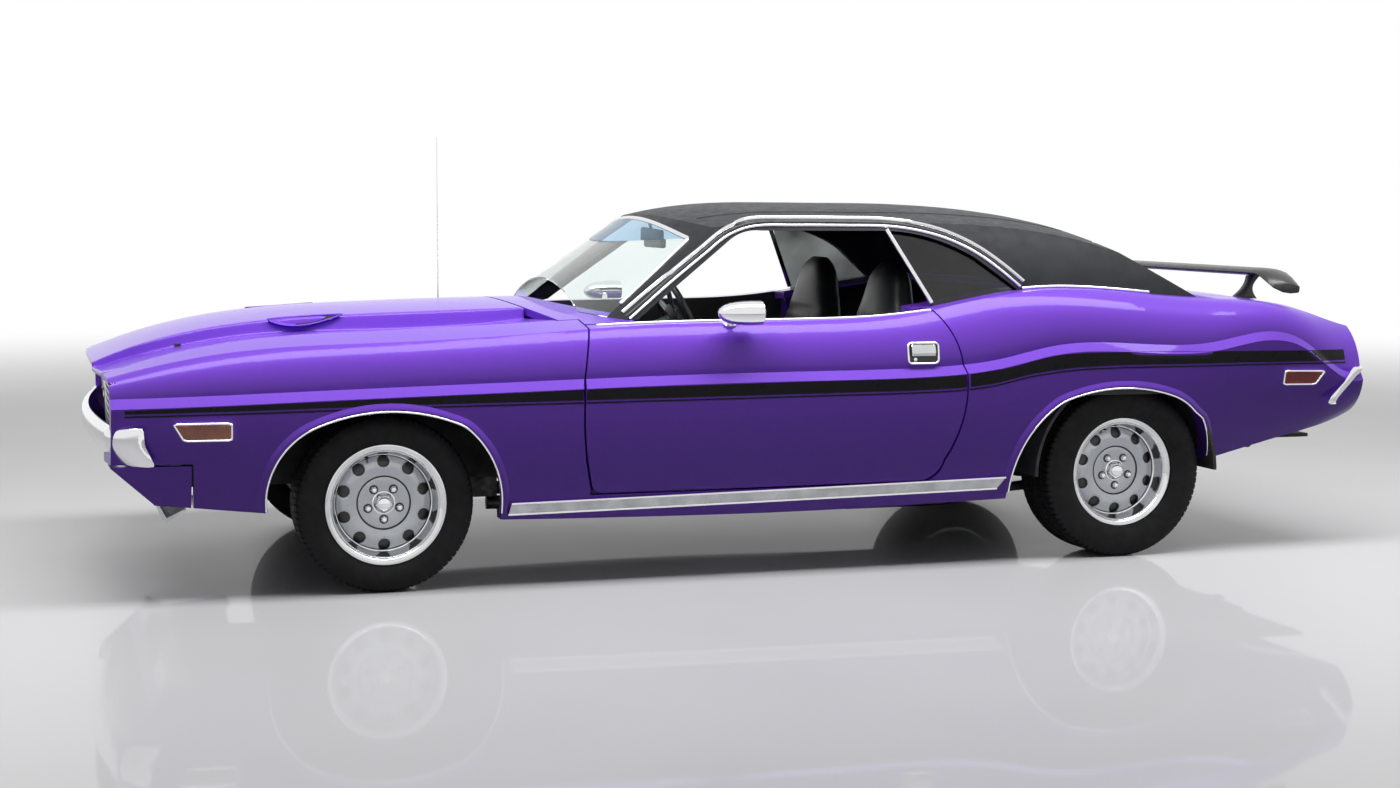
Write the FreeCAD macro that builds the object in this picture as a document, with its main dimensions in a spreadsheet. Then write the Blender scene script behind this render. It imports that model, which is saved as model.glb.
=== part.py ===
"""Two-door muscle car, modelled as separate pieces in one parametric document.

Millimetres. +X runs to the rear, +Y to the right-hand side, +Z up. The origin lies on the ground
under the centre of the overall box, and the tyres stand on Z = 0.
"""

import FreeCAD, Part
import math
import os
import re
import Sketcher
from FreeCAD import Placement, Rotation, Vector

# Driving dimensions, in millimetres and degrees.
SIZES = {
    "FrontOverhang": 979, "Wheelbase": 2794, "RearOverhang": 1087, "BodyWidth": 1933,
    "RoofHeight": 1337, "PanelGap": 7, "PanelThickness": 28, "QuarterThickness": 60,
    "DoorInnerPlane": 805, "DoorFrontReach": 718, "DoorRearReach": 700, "DoorBottom": 322,
    "HingeReach": 733, "HingeInset": 42, "HingePinRadius": 5, "HingeBarrelRadius": 10,
    "RunningClearance": 0.05, "RestClearance": 0.3,
    "HoodHalfWidth": 705, "HoodRearReach": 640, "DeckHalfWidth": 650, "DeckFrontReach": 390,
    "GlassThickness": 6, "RoofThickness": 34, "PillarThickness": 46,
    "FrontTrack": 1516, "RearTrack": 1542, "FrontTyreRadius": 305, "RearTyreRadius": 322,
    "FrontTyreWidth": 225, "RearTyreWidth": 255, "RimSeatRadius": 190, "RimFlangeHeight": 17,
    "RimWidth": 200, "RimWall": 7, "BoltCircle": 114.3, "WheelSlots": 10, "WheelNuts": 5,
    "SpindleRadius": 22, "FloorHeight": 240, "FloorThickness": 14, "TunnelHalfWidth": 150,
    "TunnelHeight": 190, "TrunkFloorHeight": 400, "CabinHalfWidth": 780,
    "SteeringWheelRadius": 190, "SteeringRimRadius": 13, "SeatWidth": 490,
}

doc = FreeCAD.newDocument("MuscleCar")
sheet = doc.addObject("Spreadsheet::Sheet", "Sizes")
for number, (alias, value) in enumerate(SIZES.items(), start=1):
    sheet.set(f"A{number}", alias)
    sheet.set(f"B{number}", str(value))
    sheet.setAlias(f"B{number}", alias)
doc.recompute()

FRONT_AXLE = "(FrontOverhang - Wheelbase - RearOverhang) / 2"
REAR_AXLE = "(FrontOverhang + Wheelbase - RearOverhang) / 2"
RIM_FLANGE = "(RimSeatRadius + RimFlangeHeight)"
front_axle = (sheet.FrontOverhang - sheet.Wheelbase - sheet.RearOverhang) / 2
rear_axle = front_axle + sheet.Wheelbase
half_length = (sheet.FrontOverhang + sheet.Wheelbase + sheet.RearOverhang) / 2
half_width = sheet.BodyWidth / 2
LEFT, RIGHT = -1, 1
SIDES = {"left": LEFT, "right": RIGHT}

pieces = []


# ---------------------------------------------------------------- document helpers

def keep(thing, label):
    """Mark a document object as a sub-part, under the name of its file."""
    thing.Label = label
    pieces.append(thing)
    return thing


def named(formula):
    """A formula of sheet aliases as an expression of the document."""
    return re.sub(r"([A-Z]\w+)", r"Sizes.\1", formula)


def value(formula):
    return float(sheet.evalExpression(named(formula)))


def bind(thing, **formulas):
    """Tie properties of an object to formulas of sheet aliases; at_x, at_y and at_z are its place."""
    for name, formula in formulas.items():
        path = ".Placement.Base." + name[-1] if name.startswith("at_") else name
        thing.setExpression(path, named(formula))
    return thing


def solid(label, shape):
    """A sub-part whose shape comes from Part's own functions."""
    feature = doc.addObject("Part::Feature", label)
    feature.Shape = shape
    feature.Placement = Placement()
    return keep(feature, label)


def new_body(label):
    return keep(doc.addObject("PartDesign::Body", label), label)


def plane_of(body, role):
    return next(feature for feature in body.Origin.OriginFeatures if feature.Role == role)


def sketch(body, name, role, points):
    """A closed, fully constrained profile. Points are pairs of formulas; (middle, end) makes an arc."""
    profile = body.newObject("Sketcher::SketchObject", name)
    profile.AttachmentSupport = [(plane_of(body, role), "")]
    profile.MapMode = "FlatFace"

    def spot(point):
        return Vector(value(point[0]), value(point[1]), 0)

    sides = []
    here = points[0]
    for point in points[1:] + points[:1]:
        if isinstance(point[0], tuple):
            middle, end = point
            first, between, last = spot(here), spot(middle), spot(end)
            forward = (between - first).cross(last - first).z > 0
            arc = Part.Arc(first, between, last) if forward else Part.Arc(last, between, first)
            number = profile.addGeometry(arc, False)
            radius = arc.toShape().Curve.Radius
            sides.append((number, 1 if forward else 2, 2 if forward else 1, here, radius))
            here = end
        elif point != here:
            number = profile.addGeometry(Part.LineSegment(spot(here), spot(point)), False)
            sides.append((number, 1, 2, here, None))
            here = point
    for index, (number, start, end, corner, radius) in enumerate(sides):
        following = sides[(index + 1) % len(sides)]
        profile.addConstraint(Sketcher.Constraint("Coincident", number, end, following[0], following[1]))
    for number, start, end, corner, radius in sides:
        for kind, formula in zip(("DistanceX", "DistanceY"), corner):
            rule = profile.addConstraint(Sketcher.Constraint(kind, -1, 1, number, start, value(formula)))
            if re.search("[A-Z]", formula):
                profile.setExpression(f"Constraints[{rule}]", named(formula))
        if radius:
            profile.addConstraint(Sketcher.Constraint("Radius", number, radius))
    return profile


def turn_profile(body, name, profile, axis="V_Axis"):
    turned = body.newObject("PartDesign::Revolution", name)
    turned.Profile = profile
    turned.ReferenceAxis = (profile, [axis])
    turned.Angle = 360
    return turned


def cut_through(body, name, profile):
    """A pocket through all, both ways from its sketch; its result must be smaller than its base."""
    doc.recompute()
    before = body.Shape.Volume
    pocket = body.newObject("PartDesign::Pocket", name)
    pocket.Profile = profile
    pocket.Type = "ThroughAll"
    pocket.SideType = "Symmetric"
    doc.recompute()
    if pocket.Shape.Volume >= before:
        raise RuntimeError(name + " cuts nothing")
    return pocket


def ring_of(body, name, feature, profile, axis, count):
    """Copies of a feature about an axis of its sketch."""
    pattern = body.newObject("PartDesign::PolarPattern", name)
    pattern.Originals = [feature]
    pattern.Axis = (profile, [axis])
    pattern.Angle = 360
    pattern.setExpression("Occurrences", named(count))
    body.Tip = pattern
    return pattern


# ---------------------------------------------------------------- shape helpers

def box(x0, x1, y0, y1, z0, z1):
    return Part.makeBox(x1 - x0, y1 - y0, z1 - z0, Vector(x0, y0, z0))


def tube_y(x, z, radius, y0, y1):
    return Part.makeCylinder(radius, y1 - y0, Vector(x, y0, z), Vector(0, 1, 0))


def tube_z(x, y, radius, z0, z1):
    return Part.makeCylinder(radius, z1 - z0, Vector(x, y, z0), Vector(0, 0, 1))


def rod(start, end, radius):
    start, end = Vector(*start), Vector(*end)
    return Part.makeCylinder(radius, (end - start).Length, start, end - start)


def outline(points, place):
    """A closed wire of lines, or of arcs where a point is given as a pair (middle, end)."""
    edges = []
    here = points[0]
    for point in points[1:] + points[:1]:
        if isinstance(point[0], tuple):
            middle, end = point
            edges.append(Part.Arc(place(here), place(middle), place(end)).toShape())
            here = end
        elif point != here:
            edges.append(Part.LineSegment(place(here), place(point)).toShape())
            here = point
    return Part.Wire(edges)


def prism_y(points, y0, y1):
    """A solid with a side-view outline of (x, z) points, between two planes of constant y."""
    wire = outline(points, lambda p: Vector(p[0], y0, p[1]))
    return Part.Face(wire).extrude(Vector(0, y1 - y0, 0))


def prism_z(points, z0, z1):
    """A solid with a plan outline of (x, y) points, between two levels."""
    wire = outline(points, lambda p: Vector(p[0], p[1], z0))
    return Part.Face(wire).extrude(Vector(0, 0, z1 - z0))


def prism_x(points, x0, x1):
    """A solid with a front-view outline of (y, z) points, between two planes of constant x."""
    wire = outline(points, lambda p: Vector(x0, p[0], p[1]))
    return Part.Face(wire).extrude(Vector(x1 - x0, 0, 0))


def mirrored(shape):
    return shape.mirror(Vector(0, 0, 0), Vector(0, 1, 0))


def both(shape):
    """A shape with its mirror image, as solids that don't touch."""
    return Part.makeCompound([shape, mirrored(shape)])


def sided(shape, side):
    """A shape drawn on the left, on the side asked for."""
    return shape if side == LEFT else mirrored(shape)


def whole(shape):
    """The one solid of a boolean's result, or its solids as a compound."""
    solids = sorted(shape.Solids, key=lambda s: -s.Volume)
    solids = [s for s in solids if s.Volume > 2000]
    return solids[0] if len(solids) == 1 else Part.makeCompound(solids)


# ---------------------------------------------------------------- body envelope

# Cross-sections of the outer skin, from nose to tail. Distances along X are from the axle named;
# insets are from half the body's width; heights are from the ground.
SKIN_COLUMNS = ("axle", "along", "sill", "sill_inset", "crease", "crease_inset", "shoulder", "shoulder_inset",
                "crown")
SKIN = [
    ("front", -1009, 340, 176, 655, 94, 730, 166, 752),
    ("front", -799, 330, 151, 659, 64, 783, 146, 843),
    ("front", -499, 300, 126, 667, 30, 836, 124, 917),
    ("front", 1, 255, 111, 680, 18, 860, 108, 957),
    ("front", 451, 236, 106, 690, 10, 879, 100, 968),
    ("front", 851, 228, 104, 699, 5, 903, 102, 970),
    ("front", 1451, 222, 104, 705, 2, 913, 104, 962),
    ("rear", -793, 230, 104, 711, 0, 945, 110, 972),
    ("rear", -543, 236, 104, 735, 0, 990, 116, 1010),
    ("rear", -323, 242, 104, 780, 0, 1014, 124, 1036),
    ("rear", -93, 262, 106, 788, 0, 1010, 132, 1040),
    ("rear", 357, 352, 116, 783, 11, 974, 151, 1003),
    ("rear", 757, 440, 146, 777, 36, 938, 176, 962),
    ("rear", 1117, 560, 186, 771, 82, 848, 208, 880),
]
AXLES = {"front": front_axle, "rear": rear_axle}
LEDGE_WIDTH, LEDGE_RISE = 24, 32


def skin_section(row, side_inset, top_inset):
    """One closed cross-section: flat floor, bowed sides, a ledge over the crease and a crowned top."""
    column = dict(zip(SKIN_COLUMNS, row))
    x = AXLES[column["axle"]] + column["along"]
    sill_y = half_width - column["sill_inset"] - side_inset
    crease_y = half_width - column["crease_inset"] - side_inset
    shoulder_y = half_width - column["shoulder_inset"] - side_inset
    sill, crease = column["sill"] + top_inset, column["crease"]
    shoulder, crown = column["shoulder"] - top_inset, column["crown"] - top_inset
    ledge_y, ledge = crease_y - LEDGE_WIDTH, crease + LEDGE_RISE
    bow = Vector(x, crease_y - 14 - 0.1 * (crease_y - sill_y), sill + 0.55 * (crease - sill))
    hip = Vector(x, shoulder_y + 0.72 * (ledge_y - shoulder_y), ledge + 0.62 * (shoulder - ledge))
    right = [Vector(x, sill_y, sill), bow, Vector(x, crease_y, crease), Vector(x, ledge_y, ledge), hip,
             Vector(x, shoulder_y, shoulder)]
    left = [Vector(p.x, -p.y, p.z) for p in right]
    edges = [
        Part.LineSegment(left[0], right[0]), Part.Arc(right[0], right[1], right[2]),
        Part.LineSegment(right[2], right[3]), Part.Arc(right[3], right[4], right[5]),
        Part.Arc(right[5], Vector(x, 0, crown), left[5]), Part.Arc(left[5], left[4], left[3]),
        Part.LineSegment(left[3], left[2]), Part.Arc(left[2], left[1], left[0]),
    ]
    return Part.Wire([edge.toShape() for edge in edges])


NOSE_CENTRE, NOSE_CORNER, TAIL_CENTRE, TAIL_CORNER = -957, -884, 1052, 1020


def plan(end_inset):
    """The plan outline of the body without its bumpers, bowed at the nose and the tail."""
    nose, nose_corner = front_axle + NOSE_CENTRE + end_inset, front_axle + NOSE_CORNER + end_inset
    tail, tail_corner = rear_axle + TAIL_CENTRE - end_inset, rear_axle + TAIL_CORNER - end_inset
    wide = half_width + 40
    return prism_z([(nose_corner, -wide), (tail_corner, -wide), ((tail, 0), (tail_corner, wide)),
                    (nose_corner, wide), ((nose, 0), (nose_corner, -wide))], 0, 1300)


def envelope(side_inset=0, top_inset=0, end_inset=0):
    """The body below the glass as one solid."""
    sections = [skin_section(row, side_inset, top_inset) for row in SKIN]
    return Part.makeLoft(sections, True, False).common(plan(end_inset))


def skin_height(x, y):
    """The height of the outer skin over a point of the plan."""
    needle = Part.LineSegment(Vector(x, y, 300), Vector(x, y, 1300)).toShape()
    return max(vertex.Z for vertex in outer.common(needle).Vertexes)


outer = envelope()
thin = sheet.PanelThickness
inner = envelope(thin, thin, thin)
quarter_inner = envelope(sheet.QuarterThickness, thin, thin)
gap = sheet.PanelGap


# ---------------------------------------------------------------- lines where panels meet

door_front = front_axle + sheet.DoorFrontReach
door_rear = rear_axle - sheet.DoorRearReach
door_low = sheet.DoorBottom
hinge_x, hinge_y = front_axle + sheet.HingeReach, half_width - sheet.HingeInset
OUTSIDE = half_width + 60
DOOR_DRAFT = 30
CREASE = 690
ABOVE = 1180


def door_outline(grow, rear_shift=0):
    """The door's side-view outline, larger all round by grow, with its rear edge moved along X."""
    front, rear, low = door_front - grow, door_rear + grow + rear_shift, door_low - grow
    return [(front, ABOVE), (front, 900), ((front - 38, 640), (front - 5, low + 38)),
            ((front + 8, low + 10), (front + 35, low)), (rear - 123, low),
            ((rear - 72, low + 23), (rear - 43, low + 78)), ((rear + 22, CREASE), (rear - 75, 960)),
            (rear - 75, ABOVE)]


def door_plug(grow=0):
    """A plug through the left side: its rear face leans forward inwards, so the door swings clear."""
    deep = sheet.DoorInnerPlane - 30
    wires = [outline(door_outline(grow), lambda p: Vector(p[0], -OUTSIDE, p[1])),
             outline(door_outline(grow, -DOOR_DRAFT), lambda p: Vector(p[0], -deep, p[1]))]
    return Part.makeLoft(wires, True, True)


# Height and radius of the space that the door's leading edge turns through.
HINGE_SWEEP = [(430, 46), (CREASE, 72), (750, 46)]


def hinge_sweep(side):
    """That space as a turned solid round the hinge, with its seam out of the fender's way."""
    points = [(radius, z) for z, radius in HINGE_SWEEP]
    rim = [Vector(hinge_x + radius, -hinge_y, z) for radius, z in [(0, points[0][1])] + points + [(0, points[-1][1])]]
    turned = Part.Face(Part.makePolygon(rim + rim[:1])).revolve(Vector(hinge_x, -hinge_y, 0), Vector(0, 0, 1), 360)
    turned.rotate(Vector(hinge_x, -hinge_y, 0), Vector(0, 0, 1), 200)
    return sided(turned, side)


# Wheel openings, as (distance along X from the axle, height), drawn round tyres of the radii beside them: up the
# front, over and down the rear.
FRONT_ARCH = [(-412, 150), (-404, 300), ((-372, 470), (-262, 578)), ((0, 634), (262, 575)),
              ((350, 470), (398, 280)), (400, 150)]
REAR_ARCH = [(-480, 150), (-476, 290), ((-420, 480), (-290, 606)), ((-70, 650), (160, 618)),
             ((290, 530), (345, 379)), (350, 150)]


FRONT_DRAWN, REAR_DRAWN = 305, 322


def arch_prism(axle, grown, points, y0, y1):
    """A wheel opening: a side-view outline about an axle, as a prism through the body sides."""
    def moved(p):
        return (axle + p[0] * grown, p[1] * grown)
    shifted = [tuple(moved(q) for q in p) if isinstance(p[0], tuple) else moved(p) for p in points]
    return prism_y(shifted, y0, y1)


front_opening = arch_prism(front_axle, sheet.FrontTyreRadius / FRONT_DRAWN, FRONT_ARCH, -OUTSIDE, OUTSIDE)
rear_opening = arch_prism(rear_axle, sheet.RearTyreRadius / REAR_DRAWN, REAR_ARCH, -OUTSIDE, OUTSIDE)

hood_rear = front_axle + sheet.HoodRearReach
hood_half = sheet.HoodHalfWidth
HOOD_BOW = 95


def hood_plan(grow):
    """The hood's plan outline: straight sides and a rear edge that bows forward along the windshield."""
    nose = front_axle + NOSE_CENTRE - 60
    rear, half = hood_rear + grow, hood_half + grow
    return prism_z([(nose, -half), (rear, -half), ((rear - HOOD_BOW, 0), (rear, half)), (nose, half)], 560, 1200)


deck_front = rear_axle + sheet.DeckFrontReach
deck_half = sheet.DeckHalfWidth


def deck_plan(grow):
    tail = rear_axle + TAIL_CENTRE + 60
    front, half = deck_front - grow, deck_half + grow
    return prism_z([(front, -half), (tail, -half), (tail, half), (front, half)], 760, 1200)


# ---------------------------------------------------------------- greenhouse

def glass_line(z):
    """Plan distances of the greenhouse at a level: windshield centre and corner, corner, side and rear."""
    return {
        "front": front_axle + 639 + 1.542 * (z - 974), "front_corner": front_axle + 872 + 1.10 * (z - 914),
        "corner_y": half_width - 206 - 0.39 * (z - 914),
        "rear": rear_axle + 352 - 1.75 * (z - 1015),
    }


# The side's half-width at each level, as an inset from half the body's width.
TUMBLEHOME = {860: 152, 1060: 204, 1265: 318, 1400: 410}


def greenhouse(front=0, side=0, rear=0):
    """The space under the glass lines as a solid, with its front, sides and rear moved inwards."""
    wires = []
    for z, inset in TUMBLEHOME.items():
        line = glass_line(z)
        side_y = half_width - inset - side
        x0, x1, y1 = line["front"] + front, line["front_corner"] + front, line["corner_y"] - side
        x3, y3 = line["rear"] - rear, side_y - 34
        x2 = x3 - 50
        middle = (x1 + x2) / 2
        points = [(x1, -y1), ((middle, -side_y), (x2, -y3)), ((x3, 0), (x2, y3)),
                  ((middle, side_y), (x1, y1)), ((x0, 0), (x1, -y1))]
        wires.append(outline(points, lambda p, z=z: Vector(p[0], p[1], z)))
    return Part.makeLoft(wires, True, False)


# The roof's crown along the middle: (distance from the front axle or the rear axle, drop from RoofHeight).
ROOF_LINE = [("front", 750, 190), ("front", 1050, 68), ("front", 1251, 21), ("front", 1636, 0),
             ("rear", -743, 3), ("rear", -425, 18), ("rear", -157, 53), ("rear", 157, 137), ("rear", 600, 300)]
ROOF_CROWN = 85
ROOF_HALF = 700


def roof_block(inset=0):
    """A block whose top is the roof's crowned skin."""
    wires = []
    for axle, along, drop in ROOF_LINE:
        x, z = AXLES[axle] + along, sheet.RoofHeight - drop - inset
        points = [(-ROOF_HALF - 150, 640), (-ROOF_HALF - 150, z - ROOF_CROWN - 40),
                  ((0, z), (ROOF_HALF + 150, z - ROOF_CROWN - 40)), (ROOF_HALF + 150, 640)]
        wires.append(outline(points, lambda p, x=x: Vector(x, p[0], p[1])))
    return Part.makeLoft(wires, True, False)


WALL = 60
pillar = sheet.PillarThickness
glass = sheet.GlassThickness
roof_top = roof_block()
roof_under = roof_block(sheet.RoofThickness)
cabin_outer = greenhouse().common(roof_top)
cabin_inner = greenhouse(WALL, pillar, WALL).common(roof_under)


# ---------------------------------------------------------------- body panels

BELOW = 100
nose_x = front_axle + NOSE_CENTRE
tail_x = rear_axle + TAIL_CENTRE
hole = door_plug(gap)
holes = hole.fuse(mirrored(hole))
shell = outer.cut(inner)
GRILLE_HALF, GRILLE_LOW, GRILLE_HIGH = 845, 500, 742
LAMP_HALF, LAMP_LOW, LAMP_HIGH = 800, 640, 800
mouth = box(nose_x - 80, nose_x + 170, -GRILLE_HALF, GRILLE_HALF, GRILLE_LOW, GRILLE_HIGH)
VALANCE_TOP = 470
VALANCE_REAR = front_axle - 640
sill_front = door_front - gap
cabin_half = sheet.CabinHalfWidth
rest = sheet.RestClearance
pin_radius, barrel_radius = sheet.HingePinRadius, sheet.HingeBarrelRadius
HINGE_LEVELS = (576, 632, 688)
HINGE_LEAF = 10
RECESS_DEPTH = 24


def front_fender(side):
    """A shell from the nose to the door: crowned top, creased side, wheel opening and front face."""
    skin = shell.common(box(nose_x - 80, door_front - gap, -OUTSIDE, -hood_half - gap / 2, BELOW, 1200))
    skin = skin.cut(front_opening).cut(hole).cut(hinge_sweep(LEFT)).cut(mouth)
    skin = skin.cut(box(nose_x - 80, VALANCE_REAR, -OUTSIDE, 0, BELOW, VALANCE_TOP))
    skin = skin.cut(box(front_axle + 300, sill_front + 10, -cabin_half - 10, 0, BELOW, 800))
    return sided(whole(skin), side)


def front_valance():
    """The chin under the bumper, from wheel opening to wheel opening."""
    band = shell.common(box(nose_x - 80, VALANCE_REAR - gap, -OUTSIDE, OUTSIDE, 255, VALANCE_TOP - gap))
    undercut = prism_y([(nose_x - 80, VALANCE_TOP), (nose_x + 40, VALANCE_TOP), (nose_x + 190, 330),
                        (nose_x + 190, BELOW), (nose_x - 80, BELOW)], -OUTSIDE, OUTSIDE)
    return band.cut(undercut).cut(front_opening)


def hood():
    lowered = outer.copy()
    lowered.translate(Vector(0, 0, -thin))
    panel = outer.cut(lowered).common(hood_plan(-gap / 2))
    return whole(panel)


def door(side):
    """As thick as the whole door: outer skin, inner trim plane, hinge recess along the leading edge."""
    panel = outer.common(door_plug()).cut(box(-half_length, half_length, -sheet.DoorInnerPlane, 0, BELOW, 1200))
    panel = panel.cut(box(hinge_x - 60, hinge_x + RECESS_DEPTH, -hinge_y - barrel_radius - 2, -700,
                          HINGE_LEVELS[0] - 10, HINGE_LEVELS[-1] + HINGE_LEAF + 10))
    for low, high in zip(HINGE_LEVELS, HINGE_LEVELS[1:]):
        z0, z1 = low + HINGE_LEAF + rest, high - rest
        barrel = tube_z(hinge_x, -hinge_y, barrel_radius, z0, z1)
        leaf = box(hinge_x, hinge_x + RECESS_DEPTH + 1, -hinge_y - 5, -hinge_y + 5, z0, z1)
        knuckle = barrel.fuse(leaf).cut(tube_z(hinge_x, -hinge_y, pin_radius + sheet.RunningClearance, z0, z1))
        panel = panel.fuse(knuckle)
    return sided(whole(panel), side)


def quarter_panel(side):
    """From the door to the tail, with its wheel opening; the trunk's side wall is its inside."""
    tail, wide = tail_x + 80, -LAMP_HALF - 40
    region = prism_z([(sill_rear, -OUTSIDE), (tail, -OUTSIDE), (tail, wide), (tail_x - TAIL_PANEL_DEPTH, wide),
                      (tail_x - TAIL_PANEL_DEPTH, -deck_half - gap), (sill_rear, -deck_half - gap)], BELOW, 1200)
    skin = outer.common(region).cut(quarter_inner)
    skin = skin.cut(box(sill_rear - 10, rear_axle - 440, -cabin_half, 0, BELOW, 600))
    skin = skin.cut(hole).cut(rear_opening)
    skin = skin.cut(tube_y(rear_axle, rear_hub, sheet.RearTyreRadius + 48, -half_width + 42, 0))
    return sided(whole(skin), side)


sill_rear = door_rear - 123
support_x = front_axle - 640
rear_hub, front_hub = sheet.RearTyreRadius, sheet.FrontTyreRadius
TAIL_PANEL_DEPTH = 75
LAMP_DEPTH = 22


def tail_panel_block(grow=0):
    return box(tail_x - TAIL_PANEL_DEPTH - grow, tail_x + 80, -LAMP_HALF - 40 - grow, LAMP_HALF + 40 + grow, 430, 1200)


def tail_panel():
    """The panel under the deck lid's edge, with the long lamp recess and the lower rear valance."""
    block = outer.common(tail_panel_block()).cut(deck_plan(gap))
    recess = box(tail_x - 80, tail_x + 80, -LAMP_HALF, LAMP_HALF, LAMP_LOW, LAMP_HIGH).cut(plan(LAMP_DEPTH))
    return whole(block.cut(recess))


def deck_lid():
    lowered = outer.copy()
    lowered.translate(Vector(0, 0, -thin))
    return whole(outer.cut(lowered).common(deck_plan(0)))


floor_top = sheet.FloorHeight + sheet.FloorThickness
firewall_x = front_axle + 610
FIREWALL, FIREWALL_DROP, POST_WIDTH = 18, 30, 24
POST_REAR = hinge_x + 12
lowered = outer.copy()
lowered.translate(Vector(0, 0, -thin))
top_skin = outer.cut(lowered)


def cowl():
    """The strip ahead of the windshield, the firewall under it and the posts that carry the doors."""
    strip = top_skin.common(box(firewall_x - 160, firewall_x + 290, -cabin_half - 10, cabin_half + 10, 700, 1200))
    strip = strip.cut(hood_plan(gap)).cut(greenhouse(WALL, pillar, WALL))
    beside = box(firewall_x - 200, sill_front + gap, -OUTSIDE, -hood_half + gap / 2, 600, 1200)
    strip = strip.cut(beside).cut(mirrored(beside))
    dropped = inner.copy()
    dropped.translate(Vector(0, 0, -FIREWALL_DROP))
    firewall = box(firewall_x, firewall_x + FIREWALL, -cabin_half, cabin_half, floor_top, 1000)
    firewall = firewall.common(inner).cut(hood_plan(gap).cut(dropped))
    post = box(firewall_x, POST_REAR, -cabin_half, -cabin_half + POST_WIDTH, floor_top, 1000)
    post = post.common(inner).cut(hood_plan(gap).cut(dropped))
    panel = strip.fuse([firewall, post, mirrored(post)])
    for low in HINGE_LEVELS:
        leaf = box(hinge_x - 6, hinge_x + 6, -hinge_y, -cabin_half + 1, low, low + HINGE_LEAF)
        leaf = leaf.fuse(tube_z(hinge_x, -hinge_y, barrel_radius, low, low + HINGE_LEAF))
        panel = panel.fuse([leaf, mirrored(leaf)])
    pin = tube_z(hinge_x, -hinge_y, pin_radius, HINGE_LEVELS[0], HINGE_LEVELS[-1])
    return whole(panel.fuse([pin, mirrored(pin)]))


def rockers():
    """The box sills under the doors, from fender to quarter panel."""
    sill = outer.common(box(sill_front, sill_rear, -OUTSIDE, -cabin_half, BELOW, door_low - gap))
    return both(whole(sill))


FLOOR_LINE = [("front", 610, 0), ("rear", -440, 0), ("rear", -330, 190), ("rear", -160, 260), ("rear", 160, 260),
              ("rear", 260, 160), ("rear", 977, 160)]
TRUNK_HALF = 612


def floor_pan():
    """The pressed floor: flat under the seats, tunnel in the middle, risen over the rear axle."""
    points = [(AXLES[axle] + along, sheet.FloorHeight + rise) for axle, along, rise in FLOOR_LINE]
    under = [(x, z + sheet.FloorThickness) for x, z in reversed(points)]
    pan = prism_y(points + under, -TRUNK_HALF, TRUNK_HALF)
    wing = box(points[0][0], points[1][0], -cabin_half, cabin_half, sheet.FloorHeight, floor_top)
    half, high = sheet.TunnelHalfWidth, sheet.FloorHeight + sheet.TunnelHeight
    skin = sheet.FloorThickness
    ridge = [(-half, sheet.FloorHeight), ((-half * 0.8, high - 40), (0, high)),
             ((half * 0.8, high - 40), (half, sheet.FloorHeight))]
    hollow = [(-half + skin, sheet.FloorHeight - 1), ((-half * 0.8 + skin, high - 40 - skin), (0, high - skin)),
              ((half * 0.8 - skin, high - 40 - skin), (half - skin, sheet.FloorHeight - 1))]
    start, end = points[0][0] + FIREWALL, points[1][0]
    tunnel = prism_x(ridge, start, end)
    bore = prism_x(hollow, start - 1, end - 30)
    slab = pan.fuse(wing)
    return whole(slab.fuse(tunnel).cut(bore))


def wheelhouses(quarter):
    """The half-round tubs over the rear tyres, between the trunk floor and the quarter panels."""
    clear = sheet.RearTyreRadius + 48
    tub = tube_y(rear_axle, rear_hub, clear + 12, -half_width + 52, -TRUNK_HALF)
    tub = tub.cut(tube_y(rear_axle, rear_hub, clear, -half_width + 20, -TRUNK_HALF - 12))
    tub = tub.common(box(-half_length, half_length, -OUTSIDE, 0, rear_hub, 1000))
    axle_slot = box(rear_axle - 60, rear_axle + 60, -OUTSIDE, 0, BELOW, rear_hub + 120)
    return both(whole(tub.cut(axle_slot).cut(quarter)))


def rear_shelf():
    """The top skin between the rear window and the deck lid, with the shelf behind the rear seat."""
    half = deck_half + gap
    strip = top_skin.common(box(deck_front - 120, deck_front - gap, -half, half, 760, 1200))
    strip = strip.cut(greenhouse(WALL, pillar, WALL))
    shelf = box(rear_axle - 60, deck_front - gap, -half, half, 905, 925)
    wall = box(deck_front - gap - 14, deck_front - gap, -half, half, 905, 1200).common(lowered)
    return whole(strip.fuse([shelf.common(lowered), wall]))


# ---------------------------------------------------------------- roof and glass

WINDSHIELD_OUTLINE = [(-724, 820), (-596, 1205), ((0, 1276), (596, 1205)), (724, 820)]
REAR_WINDOW_OUTLINE = [(-610, 800), (-560, 1185), ((0, 1240), (560, 1185)), (610, 800)]


def side_window():
    """The side opening from the windshield pillar to the sail panel, in side view."""
    a, b = front_axle, rear_axle
    return prism_y([(a + 880, 800), (a + 925, 925), (a + 1290, 1196), ((a + 1345, 1226), (a + 1420, 1234)),
                    (b - 883, 1233), ((b - 694, 1199), (b - 550, 1131)), (b - 396, 1009), (b - 396, 800)],
                   -OUTSIDE, OUTSIDE)


windshield_hole = prism_x(WINDSHIELD_OUTLINE, front_axle, front_axle + 1500)
rear_window_hole = prism_x(REAR_WINDOW_OUTLINE, rear_axle - 600, rear_axle + 700)


def glass_band(shift):
    """The skin of the greenhouse that faces forward, or rearward for a shift below zero."""
    moved = greenhouse()
    moved.translate(Vector(shift, 0, 0))
    return greenhouse().cut(moved)


def roof():
    """Roof panel, windshield pillars and sail panels as one pressing."""
    canopy = cabin_outer.cut(cabin_inner)
    canopy = canopy.cut(windshield_hole.common(glass_band(2 * WALL)))
    canopy = canopy.cut(rear_window_hole.common(glass_band(-2 * WALL)))
    canopy = canopy.cut(side_window())
    return whole(canopy.cut(outer))


def windshield():
    return whole(glass_band(glass * 1.6).common(windshield_hole).common(roof_top).cut(outer))


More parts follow.
